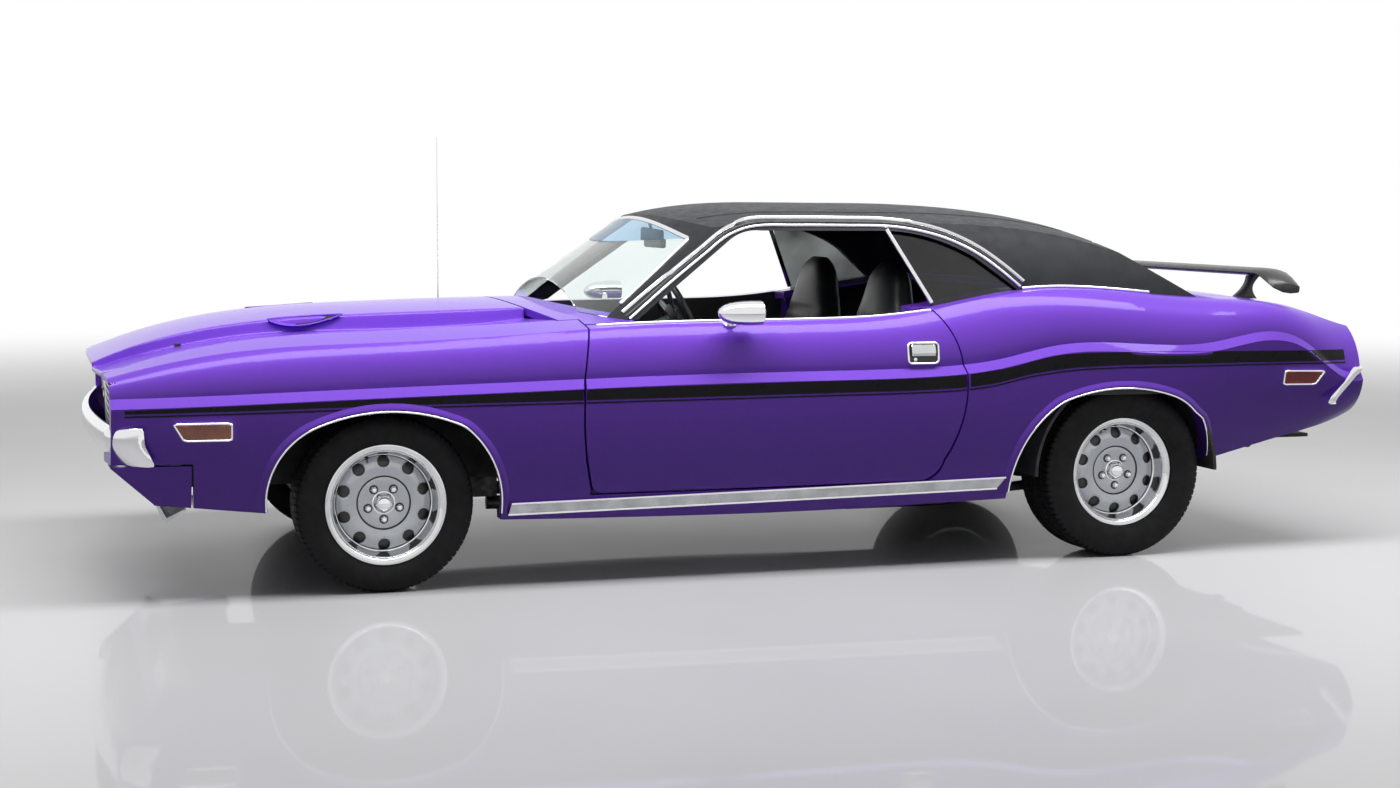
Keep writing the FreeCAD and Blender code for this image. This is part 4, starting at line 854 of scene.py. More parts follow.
class CAR_OT_door_handles(Operator):
    """Flush paddle handles in bright frames over painted shade, with their lock buttons"""
    bl_idname = "muscle_car.door_handles"
    bl_label = "Door handles"

    def execute(self, context):
        for side, word in SIDES.items():
            skin = Skin(f"door_{word}")
            x0, x1, z0, z1 = HANDLE_BOX

            def at(u, v, lift):
                x, z = x0 + (x1 - x0) * u, z0 + (z1 - z0) * v
                found = skin.side(x, z, side)
                return found[0] + found[1] * lift

            loop = []
            for cu, cv, start in ((0.88, 0.82, 0), (0.12, 0.82, 90), (0.12, 0.18, 180), (0.88, 0.18, 270)):
                for degrees in spread(start, start + 90, 6):
                    turn = math.radians(degrees)
                    loop.append((cu + 0.12 * math.cos(turn), cv + 0.18 * math.sin(turn)))
            frame_bar = Shape()
            frame_bar.sweep([at(u, v, 0.002) for u, v in loop], crowned(0.01, 0.007),
                            [skin.side(x0 + (x1 - x0) * u, z0 + (z1 - z0) * v, side)[1] for u, v in loop],
                            closed=True)
            frame_bar.make(f"handle_frame_{word}", "chrome", f"door_{word}", "chrome")
            # The black sheet behind the paddle is painted shade for the handle's recess.
            dish = Shape()
            dish.grid([[at(u, v, 0.001) for u in spread(0.03, 0.97, 12)] for v in spread(0.04, 0.96, 8)])
            dish.make(f"handle_recess_{word}", "satin_black", f"door_{word}", "dark")
            paddle = Shape()
            rows = []
            for v, lift in ((0.36, 0.001), (0.37, 0.007), (0.5, 0.01), (0.78, 0.0095), (0.9, 0.007),
                            (0.91, 0.001)):
                rows.append([at(u, v, lift) for u in spread(0.1, 0.9, 12)])
            paddle.grid(rows)
            paddle.make(f"handle_paddle_{word}", "polished_steel", f"door_{word}", "chrome", sharp=50,
                        thick=0.001)
            button = Shape()
            place = placed(at(0.22, 0.2, 0), 180 if side == LEFT else 0, "Z")
            button.lathe([(0.0002, 0.007), (0.005, 0.0068), (0.0068, 0.0055), (0.007, 0.0)], 20, place)
            button.make(f"handle_lock_{word}", "chrome", f"door_{word}", "chrome")
        return {"FINISHED"}


# ---------------------------------------------------------------- bumpers, hood, wing and mirrors

HALF_WIDTH = 0.9665


def arc_through(start, middle, end, count=9):
    """Points of the arc through three plan points, without its start."""
    ax, ay = start
    bx, by = middle[0] - ax, middle[1] - ay
    cx, cy = end[0] - ax, end[1] - ay
    twice = 2 * (bx * cy - by * cx)
    ux = (cy * (bx * bx + by * by) - by * (cx * cx + cy * cy)) / twice
    uy = (bx * (cx * cx + cy * cy) - cx * (bx * bx + by * by)) / twice
    centre = (ax + ux, ay + uy)
    angles = [math.atan2(p[1] - centre[1], p[0] - centre[0]) for p in (start, middle, end)]
    full = 2 * math.pi
    turn = (angles[2] - angles[0]) % full
    if (angles[1] - angles[0]) % full > turn:
        turn -= full
    radius = math.hypot(ux, uy)
    return [(centre[0] + radius * math.cos(angles[0] + turn * i / count),
             centre[1] + radius * math.sin(angles[0] + turn * i / count)) for i in range(1, count + 1)]


def plan_line(points):
    """Plan points, with arcs as (middle, end) pairs, as one dense open line."""
    line = [points[0]]
    for point in points[1:]:
        if isinstance(point[0], tuple):
            count = 40 if abs(point[1][1] - line[-1][1]) > 0.8 else 9
            line += arc_through(line[-1], point[0], point[1], count)
        else:
            x, y = line[-1]
            line += [(x + (point[0] - x) * i / 3, y + (point[1] - y) * i / 3) for i in range(1, 4)]
    return line


def blade(points, levels, thick):
    """A bumper blade: a plan line carried through (height, shift along X) levels, and a flat back."""
    line = plan_line(points)
    rows = []
    for z, dx in levels:
        rows.append([Vector((x + dx, y, z)) for x, y in line])
    made = Shape()
    back = [[p + Vector((thick, 0, 0)) for p in row] for row in reversed(rows)]
    made.grid(rows + back, ring=True)
    wide = len(line)
    count = len(rows) * 2
    made.faces.append([r * wide for r in range(count)])
    made.faces.append([r * wide + wide - 1 for r in reversed(range(count))])
    return made


class CAR_OT_bumpers(Operator):
    """Slim chromed blades with drawn-round ends, and short air dams under the chin"""
    bl_idname = "muscle_car.bumpers"
    bl_label = "Bumpers"

    def execute(self, context):
        centre, corner, wrap = FRONT_AXLE - 0.979, FRONT_AXLE - 0.908, FRONT_AXLE - 0.821
        end_y, turn_y, in_y = HALF_WIDTH - 0.054, HALF_WIDTH - 0.112, HALF_WIDTH - 0.19
        front = blade([(wrap, -end_y), ((corner - 0.004, -turn_y), (corner - 0.014, -in_y)),
                       ((centre, 0), (corner - 0.014, in_y)), ((corner - 0.004, turn_y), (wrap, end_y))],
                      [(0.466, 0.056), (0.47, 0.046), (0.5, 0.022), (0.53, 0.004), (0.556, 0.0),
                       (0.58, 0.002), (0.59, 0.009), (0.596, 0.02)], 0.012)
        front.make("front_blade", "chrome", "body", "chrome", ("front_bumper",), sharp=60, subdivide=1)
        middle, corner, wrap = REAR_AXLE + 1.087, REAR_AXLE + 1.046, REAR_AXLE + 0.985
        end_y, turn_y, in_y = HALF_WIDTH - 0.04, HALF_WIDTH - 0.07, HALF_WIDTH - 0.15
        rear = blade([(wrap, -end_y), ((corner - 0.014, -turn_y), (corner, -in_y)),
                      ((middle, 0), (corner, in_y)), ((corner - 0.014, turn_y), (wrap, end_y))],
                     [(0.56, -0.108), (0.566, -0.116), (0.576, -0.116), (0.62, -0.068), (0.664, -0.024),
                      (0.69, -0.003), (0.7, -0.0015), (0.706, -0.008)], -0.02)
        rear.make("rear_blade", "chrome", "body", "chrome", ("rear_bumper",), sharp=60, subdivide=1)
        dams = Shape()
        x = FRONT_AXLE - 0.775
        outline = [(x, 0.36), (x + 0.04, 0.262), (x + 0.05, 0.256), (x + 0.118, 0.296), (x + 0.112, 0.3),
                   (x + 0.052, 0.272), (x + 0.016, 0.34), (x + 0.066, 0.334), (x + 0.066, 0.35)]
        for y0, y1 in ((-0.74, -0.38), (0.38, 0.74)):
            rows = [[Vector((px, y, pz)) for px, pz in outline] for y in (y0, y1)]
            base = len(dams.points)
            dams.grid(rows, loop=True)
            dams.faces += [[base + i for i in range(9)], [base + 9 + i for i in reversed(range(9))]]
        dams.make("chin_dams", "satin_trim", "body", "silver_trim", sharp=30)
        return {"FINISHED"}


# The trough beside the hood's bulge, from nose to cowl: (X from the front axle, drop of its floor under the
# skin at the fender, y of the bulge's crest, y of the foot of its wall).
TROUGH = [(-0.819, 0.0, 0.372, 0.38), (-0.739, 0.003, 0.38, 0.396), (-0.619, 0.006, 0.39, 0.412),
          (-0.399, 0.006, 0.405, 0.43), (0.141, 0.018, 0.42, 0.45), (0.421, 0.016, 0.426, 0.452),
          (0.601, 0.002, 0.43, 0.44)]
SCOOP_START, SCOOP_END = FRONT_AXLE - 0.345, FRONT_AXLE - 0.085


class CAR_OT_hood(Operator):
    """Hood with a raised middle between two troughs and an intake in each shoulder, its opening painted shade
    """
    bl_idname = "muscle_car.hood_panel"
    bl_label = "Hood"

    def execute(self, context):
        skin = Skin("hood")
        half = min(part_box("hood")[1].y, -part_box("hood")[0].y) - 0.0008
        drop, crest, foot = (line_through([(FRONT_AXLE + row[0], row[k]) for row in TROUGH])
                             for k in (1, 2, 3))

        def ends(y):
            def on_hood(x):
                return bool(skin.top(x, y))
            return edge_between(on_hood, -1.9, -2.45) + 0.0006, edge_between(on_hood, -1.2, -0.7) - 0.0006

        shares = [ends(half * k / 20) for k in range(21)]
        front = line_through([(half * k / 20, s[0]) for k, s in enumerate(shares)])
        rear = line_through([(half * k / 20, s[1]) for k, s in enumerate(shares)])

        def height(x, y):
            for inset in (0.0005, 0.002, 0.006, 0.015):
                found = skin.top(max(front(y) + inset, min(rear(y) - inset, x)), min(y, half - inset * 0.5))
                if found:
                    return found[0].z
            raise ValueError(f"no hood at {x:.3f}, {y:.3f}")

        def surface(u, column):
            band, share = column
            x = front(0) + u * (rear(0) - front(0))
            for _ in range(3):
                limits = (0.0, crest(x), foot(x), half)
                y = limits[band] + (limits[band + 1] - limits[band]) * share
                x = front(y) + u * (rear(y) - front(y))
            z = height(x, y)
            if band:
                edge, top = height(x, half), height(x, crest(x))
                floor = edge - drop(x) * (half - y) / (half - foot(x)) if band == 2 else edge - drop(x)
                share = 0 if band == 2 else share
                wall = top + (floor - top) * (share * share * (3 - 2 * share)) if band == 1 else floor
                z = min(z, wall)
            return Vector((x, y, z))

        columns = ([(0, k / 16) for k in range(16)] + [(1, k / 8) for k in range(8)]
                   + [(2, k / 20) for k in range(21)])
        panel = Shape()
        rows = [[surface(u, c) for c in columns] for u in spread(0, 1, 150)]
        panel.grid(rows)
        panel.mirror()
        made = panel.make("hood_skin", "metallic_paint", "hood", "paint", ("hood",), sharp=50)
        shell = made.modifiers.new("thickness", "SOLIDIFY")
        shell.thickness, shell.offset = 0.014, self.inward(made)
        self.intakes(crest, height)
        return {"FINISHED"}

    def inward(self, made):
        """Which way the sheet thickens so that its outside stays in place."""
        up = sum(face.normal.z * face.area for face in made.data.polygons)
        return -1 if up > 0 else 1

    def intakes(self, crest, height):
        """Pointed intakes in the bulge's shoulders with rolled lips; a flat black sheet in each is painted
        shade for its opening.
        """
        for side, word in SIDES.items():
            upper, lower = [], []
            for t in spread(0, 1, 33):
                x = SCOOP_START + (SCOOP_END - SCOOP_START) * t
                wide = 0.032 * math.sin(math.pi * t ** 0.8) ** 0.9 if 0 < t < 1 else 0
                middle = crest(x) + 0.01
                z = height(x, crest(x))
                upper.append(Vector((x, side * (middle - wide * 0.9), z + 0.002 - wide * 0.05)))
                lower.append(Vector((x, side * (middle + wide * 0.55), z + 0.001 - wide * 0.95)))
            ramp, mouth = Shape(), Shape()
            rows = []
            for share in spread(0, 1, 9):
                row = []
                for i, (a, b) in enumerate(zip(upper, lower)):
                    p = a.lerp(b, share)
                    sink = 0.01 * math.sin(math.pi * share) * math.sin(math.pi * i / 32)
                    row.append(p + Vector((0, -side * sink * 0.2, -sink * 0.6))
                               + Vector((0, side * 0.004, 0.003)))
                rows.append(row)
            split = 12
            ramp.grid([row[:split + 1] for row in rows])
            ramp.make(f"intake_ramp_{word}", "metallic_paint", "hood", "paint", sharp=70)
            # The rear of the intake is a flat black sheet: painted shade for the dark inside of the opening.
            mouth.grid([row[split:] for row in rows])
            mouth.make(f"intake_mouth_{word}", "flat_black", "hood", "dark", sharp=70)
            lip = Shape()
            loop = upper + list(reversed(lower[1:-1]))
            lip.sweep([p + Vector((0, side * 0.003, 0.003)) for p in loop], round_section(0.0034, 8, 0.8),
                      Vector((0, side * 0.6, 0.8)), closed=True)
            lip.make(f"intake_lip_{word}", "metallic_paint", "hood", "paint")


# One end of the wing from its straight middle out: (distance across, drop of its top edge, chord, thickness).
WING_END = [(0.59, 0.0, 0.128, 0.03), (0.625, 0.001, 0.128, 0.03), (0.66, 0.008, 0.128, 0.031),
            (0.7, 0.024, 0.124, 0.036), (0.735, 0.044, 0.112, 0.04), (0.75, 0.056, 0.098, 0.036),
            (0.753, 0.06, 0.08, 0.024)]
WING_TOP, WING_REAR = 1.08, REAR_AXLE + 0.83


class CAR_OT_wing(Operator):
    """Rear wing with drooped ends on two raked legs"""
    bl_idname = "muscle_car.wing"
    bl_label = "Rear wing"

    # Sections as shares: the wing's of its chord and thickness, the leg's of its length, with metres across.
    WING_SECTION = ((0.0, -0.55), (0.03, -0.3), (0.12, -0.1), (0.3, 0.06), (0.55, 0.06), (0.8, -0.08),
                    (0.97, -0.26), (1.0, -0.4), (0.985, -0.95), (0.93, -1.02), (0.6, -1.08), (0.25, -0.95),
                    (0.04, -0.72))
    LEG_SECTION = ((0, 0), (0.06, -0.01), (0.3, -0.014), (0.7, -0.014), (0.94, -0.01), (1, 0), (0.94, 0.01),
                   (0.7, 0.014), (0.3, 0.014), (0.06, 0.01))

    def execute(self, context):
        stations = [(-y, *rest) for y, *rest in reversed(WING_END)]
        stations += [(y, *WING_END[0][1:]) for y in spread(-0.55, 0.55, 9)] + WING_END
        wing = Shape()
        rows = []
        for y, drop, chord, thick in stations:
            x0, top = WING_REAR - chord, WING_TOP - drop
            rows.append([Vector((x0 + chord * u, y, top + thick * v)) for u, v in self.WING_SECTION])
        wing.grid(rows, loop=True)
        sides = len(rows[0])
        wing.faces.append(list(reversed(range(sides))))
        wing.faces.append([(len(rows) - 1) * sides + i for i in range(sides)])
        deck = Skin("deck_lid")
        for y in (-0.54, 0.54):
            x = WING_REAR - 0.188
            foot = deck.top(x + 0.06, y)[0].z
            sides_of_leg = ([], [])
            for share in spread(0, 1, 12):
                z = foot - 0.004 + (WING_TOP - 0.026 - foot) * share
                bow = 0.03 * math.sin(math.pi * share)
                sides_of_leg[0].append((x + 0.078 * share + bow * 0.7, z))
                sides_of_leg[1].append((x + 0.13 + 0.01 * share - bow, z))
            leg = []
            for (xa, z), (xb, _) in zip(*sides_of_leg):
                leg.append([Vector((xa + (xb - xa) * u, y + w, z)) for u, w in self.LEG_SECTION])
            wing.grid(leg, loop=True)
            upright = Matrix.Rotation(math.pi / 2, 4, "X") @ Matrix.Scale(1.9, 4, (1, 0, 0))
            wing.lathe([(0.0002, 0.0), (0.03, 0.0), (0.03, 0.003), (0.026, 0.005), (0.0002, 0.005)], 32,
                       Matrix.Translation((x + 0.06, y, foot)) @ upright)
        wing.make("wing_and_legs", "satin_black", "deck_lid", "dark", ("spoiler",), sharp=45)
        return {"FINISHED"}


class CAR_OT_mirrors(Operator):
    """Bullet mirrors on leaning stalks, with their glass"""
    bl_idname = "muscle_car.mirrors"
    bl_label = "Door mirrors"

    SHELL = [(0.0002, -0.108), (0.01, -0.106), (0.021, -0.099), (0.031, -0.086), (0.039, -0.066),
             (0.044, -0.04), (0.0468, -0.01), (0.0474, 0.02), (0.047, 0.044), (0.0462, 0.052),
             (0.044, 0.054), (0.0425, 0.05)]

    def execute(self, context):
        for side, word in SIDES.items():
            centre = Vector((FRONT_AXLE + 1.262, side * (HALF_WIDTH - 0.002), 0.95))
            turned = Matrix.Rotation(-math.pi / 2, 4, "Z") @ Matrix.Scale(0.92, 4, (0, 0, 1))
            place = Matrix.Translation(centre) @ turned
            shell = Shape()
            shell.lathe(self.SHELL, 48, place)
            door = Skin(f"door_{word}")
            foot = None
            for z in spread(0.905, 0.84, 14):
                foot = door.side(centre.x - 0.035, z, side)
                if foot and abs(foot[0].y) > 0.85:
                    break
            path = smooth_path([foot[0] - foot[1] * 0.004, foot[0] + Vector((0.004, side * 0.018, 0.018)),
                                centre + Vector((-0.012, -side * 0.01, -0.03))], 12)
            shell.sweep(path, [(a * 1.5, b) for a, b in round_section(0.011, 14)], Vector((0, side, 0.2)))
            shell.sweep([foot[0] + foot[1] * out for out in (-0.003, 0.002, 0.006, 0.007)],
                        round_section(0.027, 24, 0.62), Vector((0, 0, 1)))
            shell.make(f"mirror_shell_{word}", "chrome", f"door_{word}", "chrome", (f"mirror_{word}",),
                       sharp=40)
            glass = Shape()
            glass.lathe([(0.0002, 0.0478), (0.0425, 0.0478), (0.0427, 0.047)], 48, place)
            glass.make(f"mirror_glass_{word}", "mirror_glass", f"door_{word}", "chrome")
        return {"FINISHED"}


# ---------------------------------------------------------------- nose and tail

class CAR_OT_nose(Operator):
    """Headlamp rims and lenses, grille bars and their frame"""
    bl_idname = "muscle_car.nose"
    bl_label = "Nose"

    def execute(self, context):
        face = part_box("headlights")[0].x
        rims, lenses = Shape(), Shape()
        for side in SIDES:
            for y in (0.59, 0.76):
                place = placed((face, side * y, 0.628), 90, "Z")
                rims.lathe([(0.066, -0.004), (0.066, 0.003), (0.071, 0.009), (0.077, 0.01), (0.082, 0.004),
                            (0.084, -0.008), (0.078, -0.012), (0.07, -0.01), (0.066, -0.004)], 56, place)
                lenses.lathe([(0, 0.012), (0.02, 0.0115), (0.045, 0.008), (0.06, 0.003), (0.067, -0.002),
                              (0.067, -0.008), (0, -0.006)], 48, place)
        rims.make("headlamp_rims", "chrome", "body", "chrome")
        lenses.make("headlamp_lenses", "lamp_glass", "body", "glass")
        grille = Shape()
        panel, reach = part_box("grille")[0], 0.5
        bar = [(-0.003, -0.012), (-0.003, 0.006), (0, 0.009), (0.003, 0.006), (0.003, -0.012)]
        for k in range(9):
            z = panel.z + 0.022 + k * 0.0245
            path = [(panel.x - 0.01 - 0.01 * (1 - (y / reach) ** 2), y, z)
                    for y in spread(-reach, reach, 25)]
            grille.sweep(path, bar, Vector((-1, 0, 0)))
        for y in (-0.25, 0.0, 0.25):
            grille.block((panel.x - 0.014, y - 0.003, panel.z + 0.016),
                         (panel.x - 0.004, y + 0.003, panel.z + 0.222), 0.001)
        grille.make("grille_bars", "satin_trim", "body", "silver_trim")
        frame_bar = Shape()
        loop = [Vector((panel.x - 0.012, y, panel.z + 0.119 + z))
                for y, z in rounded_loop(96, 0.505, 0.113, (0.16, 0.3))]
        frame_bar.sweep(loop, crowned(0.01, 0.006), Vector((-1, 0, 0)), closed=True)
        frame_bar.make("grille_surround", "chrome", "body", "chrome")
        return {"FINISHED"}


# How far the middle of each tail lamp is from the middle of the car.
LAMP_MIDDLE = 0.475


class CAR_OT_tail(Operator):
    """Tail lamp frames and ribs, the deck lid's rear flange and the fuel tank"""
    bl_idname = "muscle_car.tail"
    bl_label = "Tail"

    def execute(self, context):
        low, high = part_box("tail_lights")
        x = high.x
        trim, dark = Shape(), Shape()
        for side in SIDES:
            loop = [Vector((x + 0.001, side * (LAMP_MIDDLE + y), (low.z + high.z) / 2 + z))
                    for y, z in rounded_loop(72, 0.315, (high.z - low.z) / 2 * 0.98, (0.2, 0.3))]
            trim.sweep(loop, crowned(0.01, 0.006), Vector((1, 0, 0)), closed=True)
            for z in spread(low.z + 0.025, high.z - 0.025, 5):
                path = [(x + 0.0005, side * y, z) for y in spread(0.175, 0.775, 12)]
                dark.sweep(path, crowned(0.003, 0.0025), Vector((1, 0, 0)))
        for y in (-LAMP_MIDDLE, LAMP_MIDDLE):
            dark.block((x - 0.003, y - 0.002, low.z + 0.006), (x + 0.004, y + 0.002, high.z - 0.006), 0.001)
        trim.make("tail_lamp_frames", "chrome", "body", "chrome")
        dark.make("tail_lamp_ribs", "satin_trim", "body", "silver_trim")
        self.lid_flange()
        tank = Shape()
        a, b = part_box("fuel_tank")
        tank.block((a.x + 0.02, a.y, 0.335), (b.x - 0.04, b.y, 0.372), 0.014)
        tank.block((a.x + 0.06, a.y + 0.04, 0.315), (b.x - 0.1, b.y - 0.04, 0.399), 0.03)
        for y in (-0.22, 0.22):
            tank.block((a.x + 0.03, y - 0.016, 0.311), (b.x - 0.05, y + 0.016, 0.34), 0.003)
        tank.make("fuel_tank_shell", "underbody_paint", "body", "underbody", replaces=("fuel_tank",))
        return {"FINISHED"}

    def lid_flange(self):
        """The deck lid's rear edge turned down to the lamp panel."""
        lid, panel = Skin("deck_lid"), Skin("tail_panel")
        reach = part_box("deck_lid")[1]
        rows = []
        for y in spread(-reach.y + 0.004, reach.y - 0.004, 61):
            def on_panel(z):
                return panel.hit((3, y, z), (-1, 0, 0)) is not None
            end = edge_between(lambda x: lid.top(x, y) is not None, reach.x - 0.12, reach.x + 0.01)
            above = lid.top(end - 0.001, y)
            top = edge_between(on_panel, 0.56, 0.9)
            below = panel.hit((3, y, top - 0.001), (-1, 0, 0))
            if not above or not below or above[0].z - top < 0.006:
                continue
            start = above[0] + Vector((-0.001, 0, -0.004))
            stop = Vector((below[0].x - 0.003, y, top + 0.004))
            bulge = (start + stop) / 2 + Vector((0.004, 0, 0.002))
            rows.append([start, (start + bulge) / 2 + Vector((0.001, 0, 0.001)), bulge,
                         (bulge + stop) / 2 + Vector((0.001, 0, 0)), stop, stop + Vector((-0.014, 0, 0.0))])
        if len(rows) > 1:
            flange = Shape()
            flange.grid(rows)
            flange.make("deck_lid_flange", "metallic_paint", "deck_lid", "paint", thick=0.002)


# ---------------------------------------------------------------- wheels

WHEELS = {"front_left": (0.305, 0.225), "front_right": (0.305, 0.225), "rear_left": (0.322, 0.255),
          "rear_right": (0.322, 0.255)}
RIM_EDGE = 0.207
# Parts of the tread's section, and how deep a slot cuts each, as a share of the tread's depth.
WALL, SHOULDER, EDGE, GROOVE, BLOCK = range(5)
SLOT_DEPTH, LOW_SLOT_DEPTH = {SHOULDER: 1, BLOCK: 0.7}, 0.55


def wheel_place(name):
    """The wheel's middle, with Y pointing out of the car."""
    low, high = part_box("tyre_" + name)
    turn = Matrix.Rotation(math.pi, 4, "Z") if name.endswith("left") else Matrix.Identity(4)
    return Matrix.Translation((low + high) / 2) @ turn @ Matrix.Rotation(math.pi / 2, 4, "Y")


class CAR_OT_tyres(Operator):
    """Tyres with grooved tread, cut shoulders and ribbed side walls"""
    bl_idname = "muscle_car.tyres"
    bl_label = "Tyres"

    def execute(self, context):
        sizes = context.scene.car_sizes
        for name, (radius, width) in WHEELS.items():
            made = Shape()
            place, edge = wheel_place(name), width / 2
            wall = self.side_wall(radius, edge)
            for out in (1, -1):
                made.lathe([(r, y * out) for r, y in wall], 160, place)
            self.tread(made, radius, edge, sizes.tread_depth, sizes.tread_pitches, place)
            made.make(f"tyre_{name}_rubber", "tyre_rubber", "wheel_" + name, "tyre", ("tyre_" + name,),
                      sharp=28)
        return {"FINISHED"}

    def side_wall(self, radius, edge):
        """From the bead out over the bulge to the shoulder, with raised rings."""
        middle = RIM_EDGE + (radius - RIM_EDGE) * 0.45
        start, end = RIM_EDGE + 0.002, radius - 0.015
        wall = [(RIM_EDGE - 0.012, 0.0915), (RIM_EDGE + 0.001, 0.0925), (start, edge - 0.0125)]
        # Where the raised rings lie, as a share of the way out, and how high they are.
        rings = {0.1: 0.0012, 0.12: 0.0012, 0.2: 0.0009, 0.215: 0.0009, 0.8: 0.001, 0.815: 0.001,
                 0.9: 0.0008}
        for share in sorted([k / 26 for k in range(1, 27)]
                            + [s + d for s in rings for d in (-0.004, 0.004)]):
            r = start + (end - start) * share
            reach = (middle - start) if r < middle else (end - middle)
            drop = (0.0125 if r < middle else 0.01) * ((r - middle) / reach) ** 2
            lift = max([height for s, height in rings.items() if abs(share - s) < 0.0035] or [0])
            wall.append((r, edge - 0.0014 - drop + lift))
        return wall

    def tread(self, made, radius, edge, depth, pitches, place):
        """Blocks between two zigzag grooves and two straight ones, and slots across the shoulders."""
        steps = (0.0, 0.13, 0.17, 0.56, 0.96)
        half = [(edge - 0.0114, radius - 0.015, WALL), (edge - 0.0132, radius - 0.0105, SHOULDER),
                (edge - 0.0165, radius - 0.0055, SHOULDER), (edge - 0.0215, radius - 0.0022, SHOULDER),
                (edge - 0.03, radius - 0.0004, SHOULDER), (edge * 0.6, radius, SHOULDER),
                (edge * 0.585, radius, EDGE), (edge * 0.575, radius, GROOVE), (edge * 0.495, radius, GROOVE),
                (edge * 0.485, radius, EDGE), (edge * 0.47, radius, BLOCK), (edge * 0.2, radius, BLOCK),
                (edge * 0.19, radius, EDGE), (edge * 0.18, radius, GROOVE), (edge * 0.105, radius, GROOVE),
                (edge * 0.095, radius, EDGE), (edge * 0.08, radius, EDGE)]
        line = half + [(-y, r, part) for y, r, part in reversed(half)]
        rows = []
        for k in range(pitches):
            for i, step in enumerate(steps):
                cut = i in (0, 1)
                row = []
                for y, r, part in line:
                    slant = 0.35 * abs(y) / edge + (0.5 if y < 0 else 0)
                    turn = 2 * math.pi * (k + step + slant) / pitches
                    if part == GROOVE:
                        r -= depth
                    elif cut and part in SLOT_DEPTH:
                        low_shoulder = part == SHOULDER and r < radius - 0.004
                        r -= depth * (LOW_SLOT_DEPTH if low_shoulder else SLOT_DEPTH[part])
                    row.append(place @ Vector((r * math.cos(turn), y, r * math.sin(turn))))
                rows.append(row)
        made.grid(rows, ring=True)


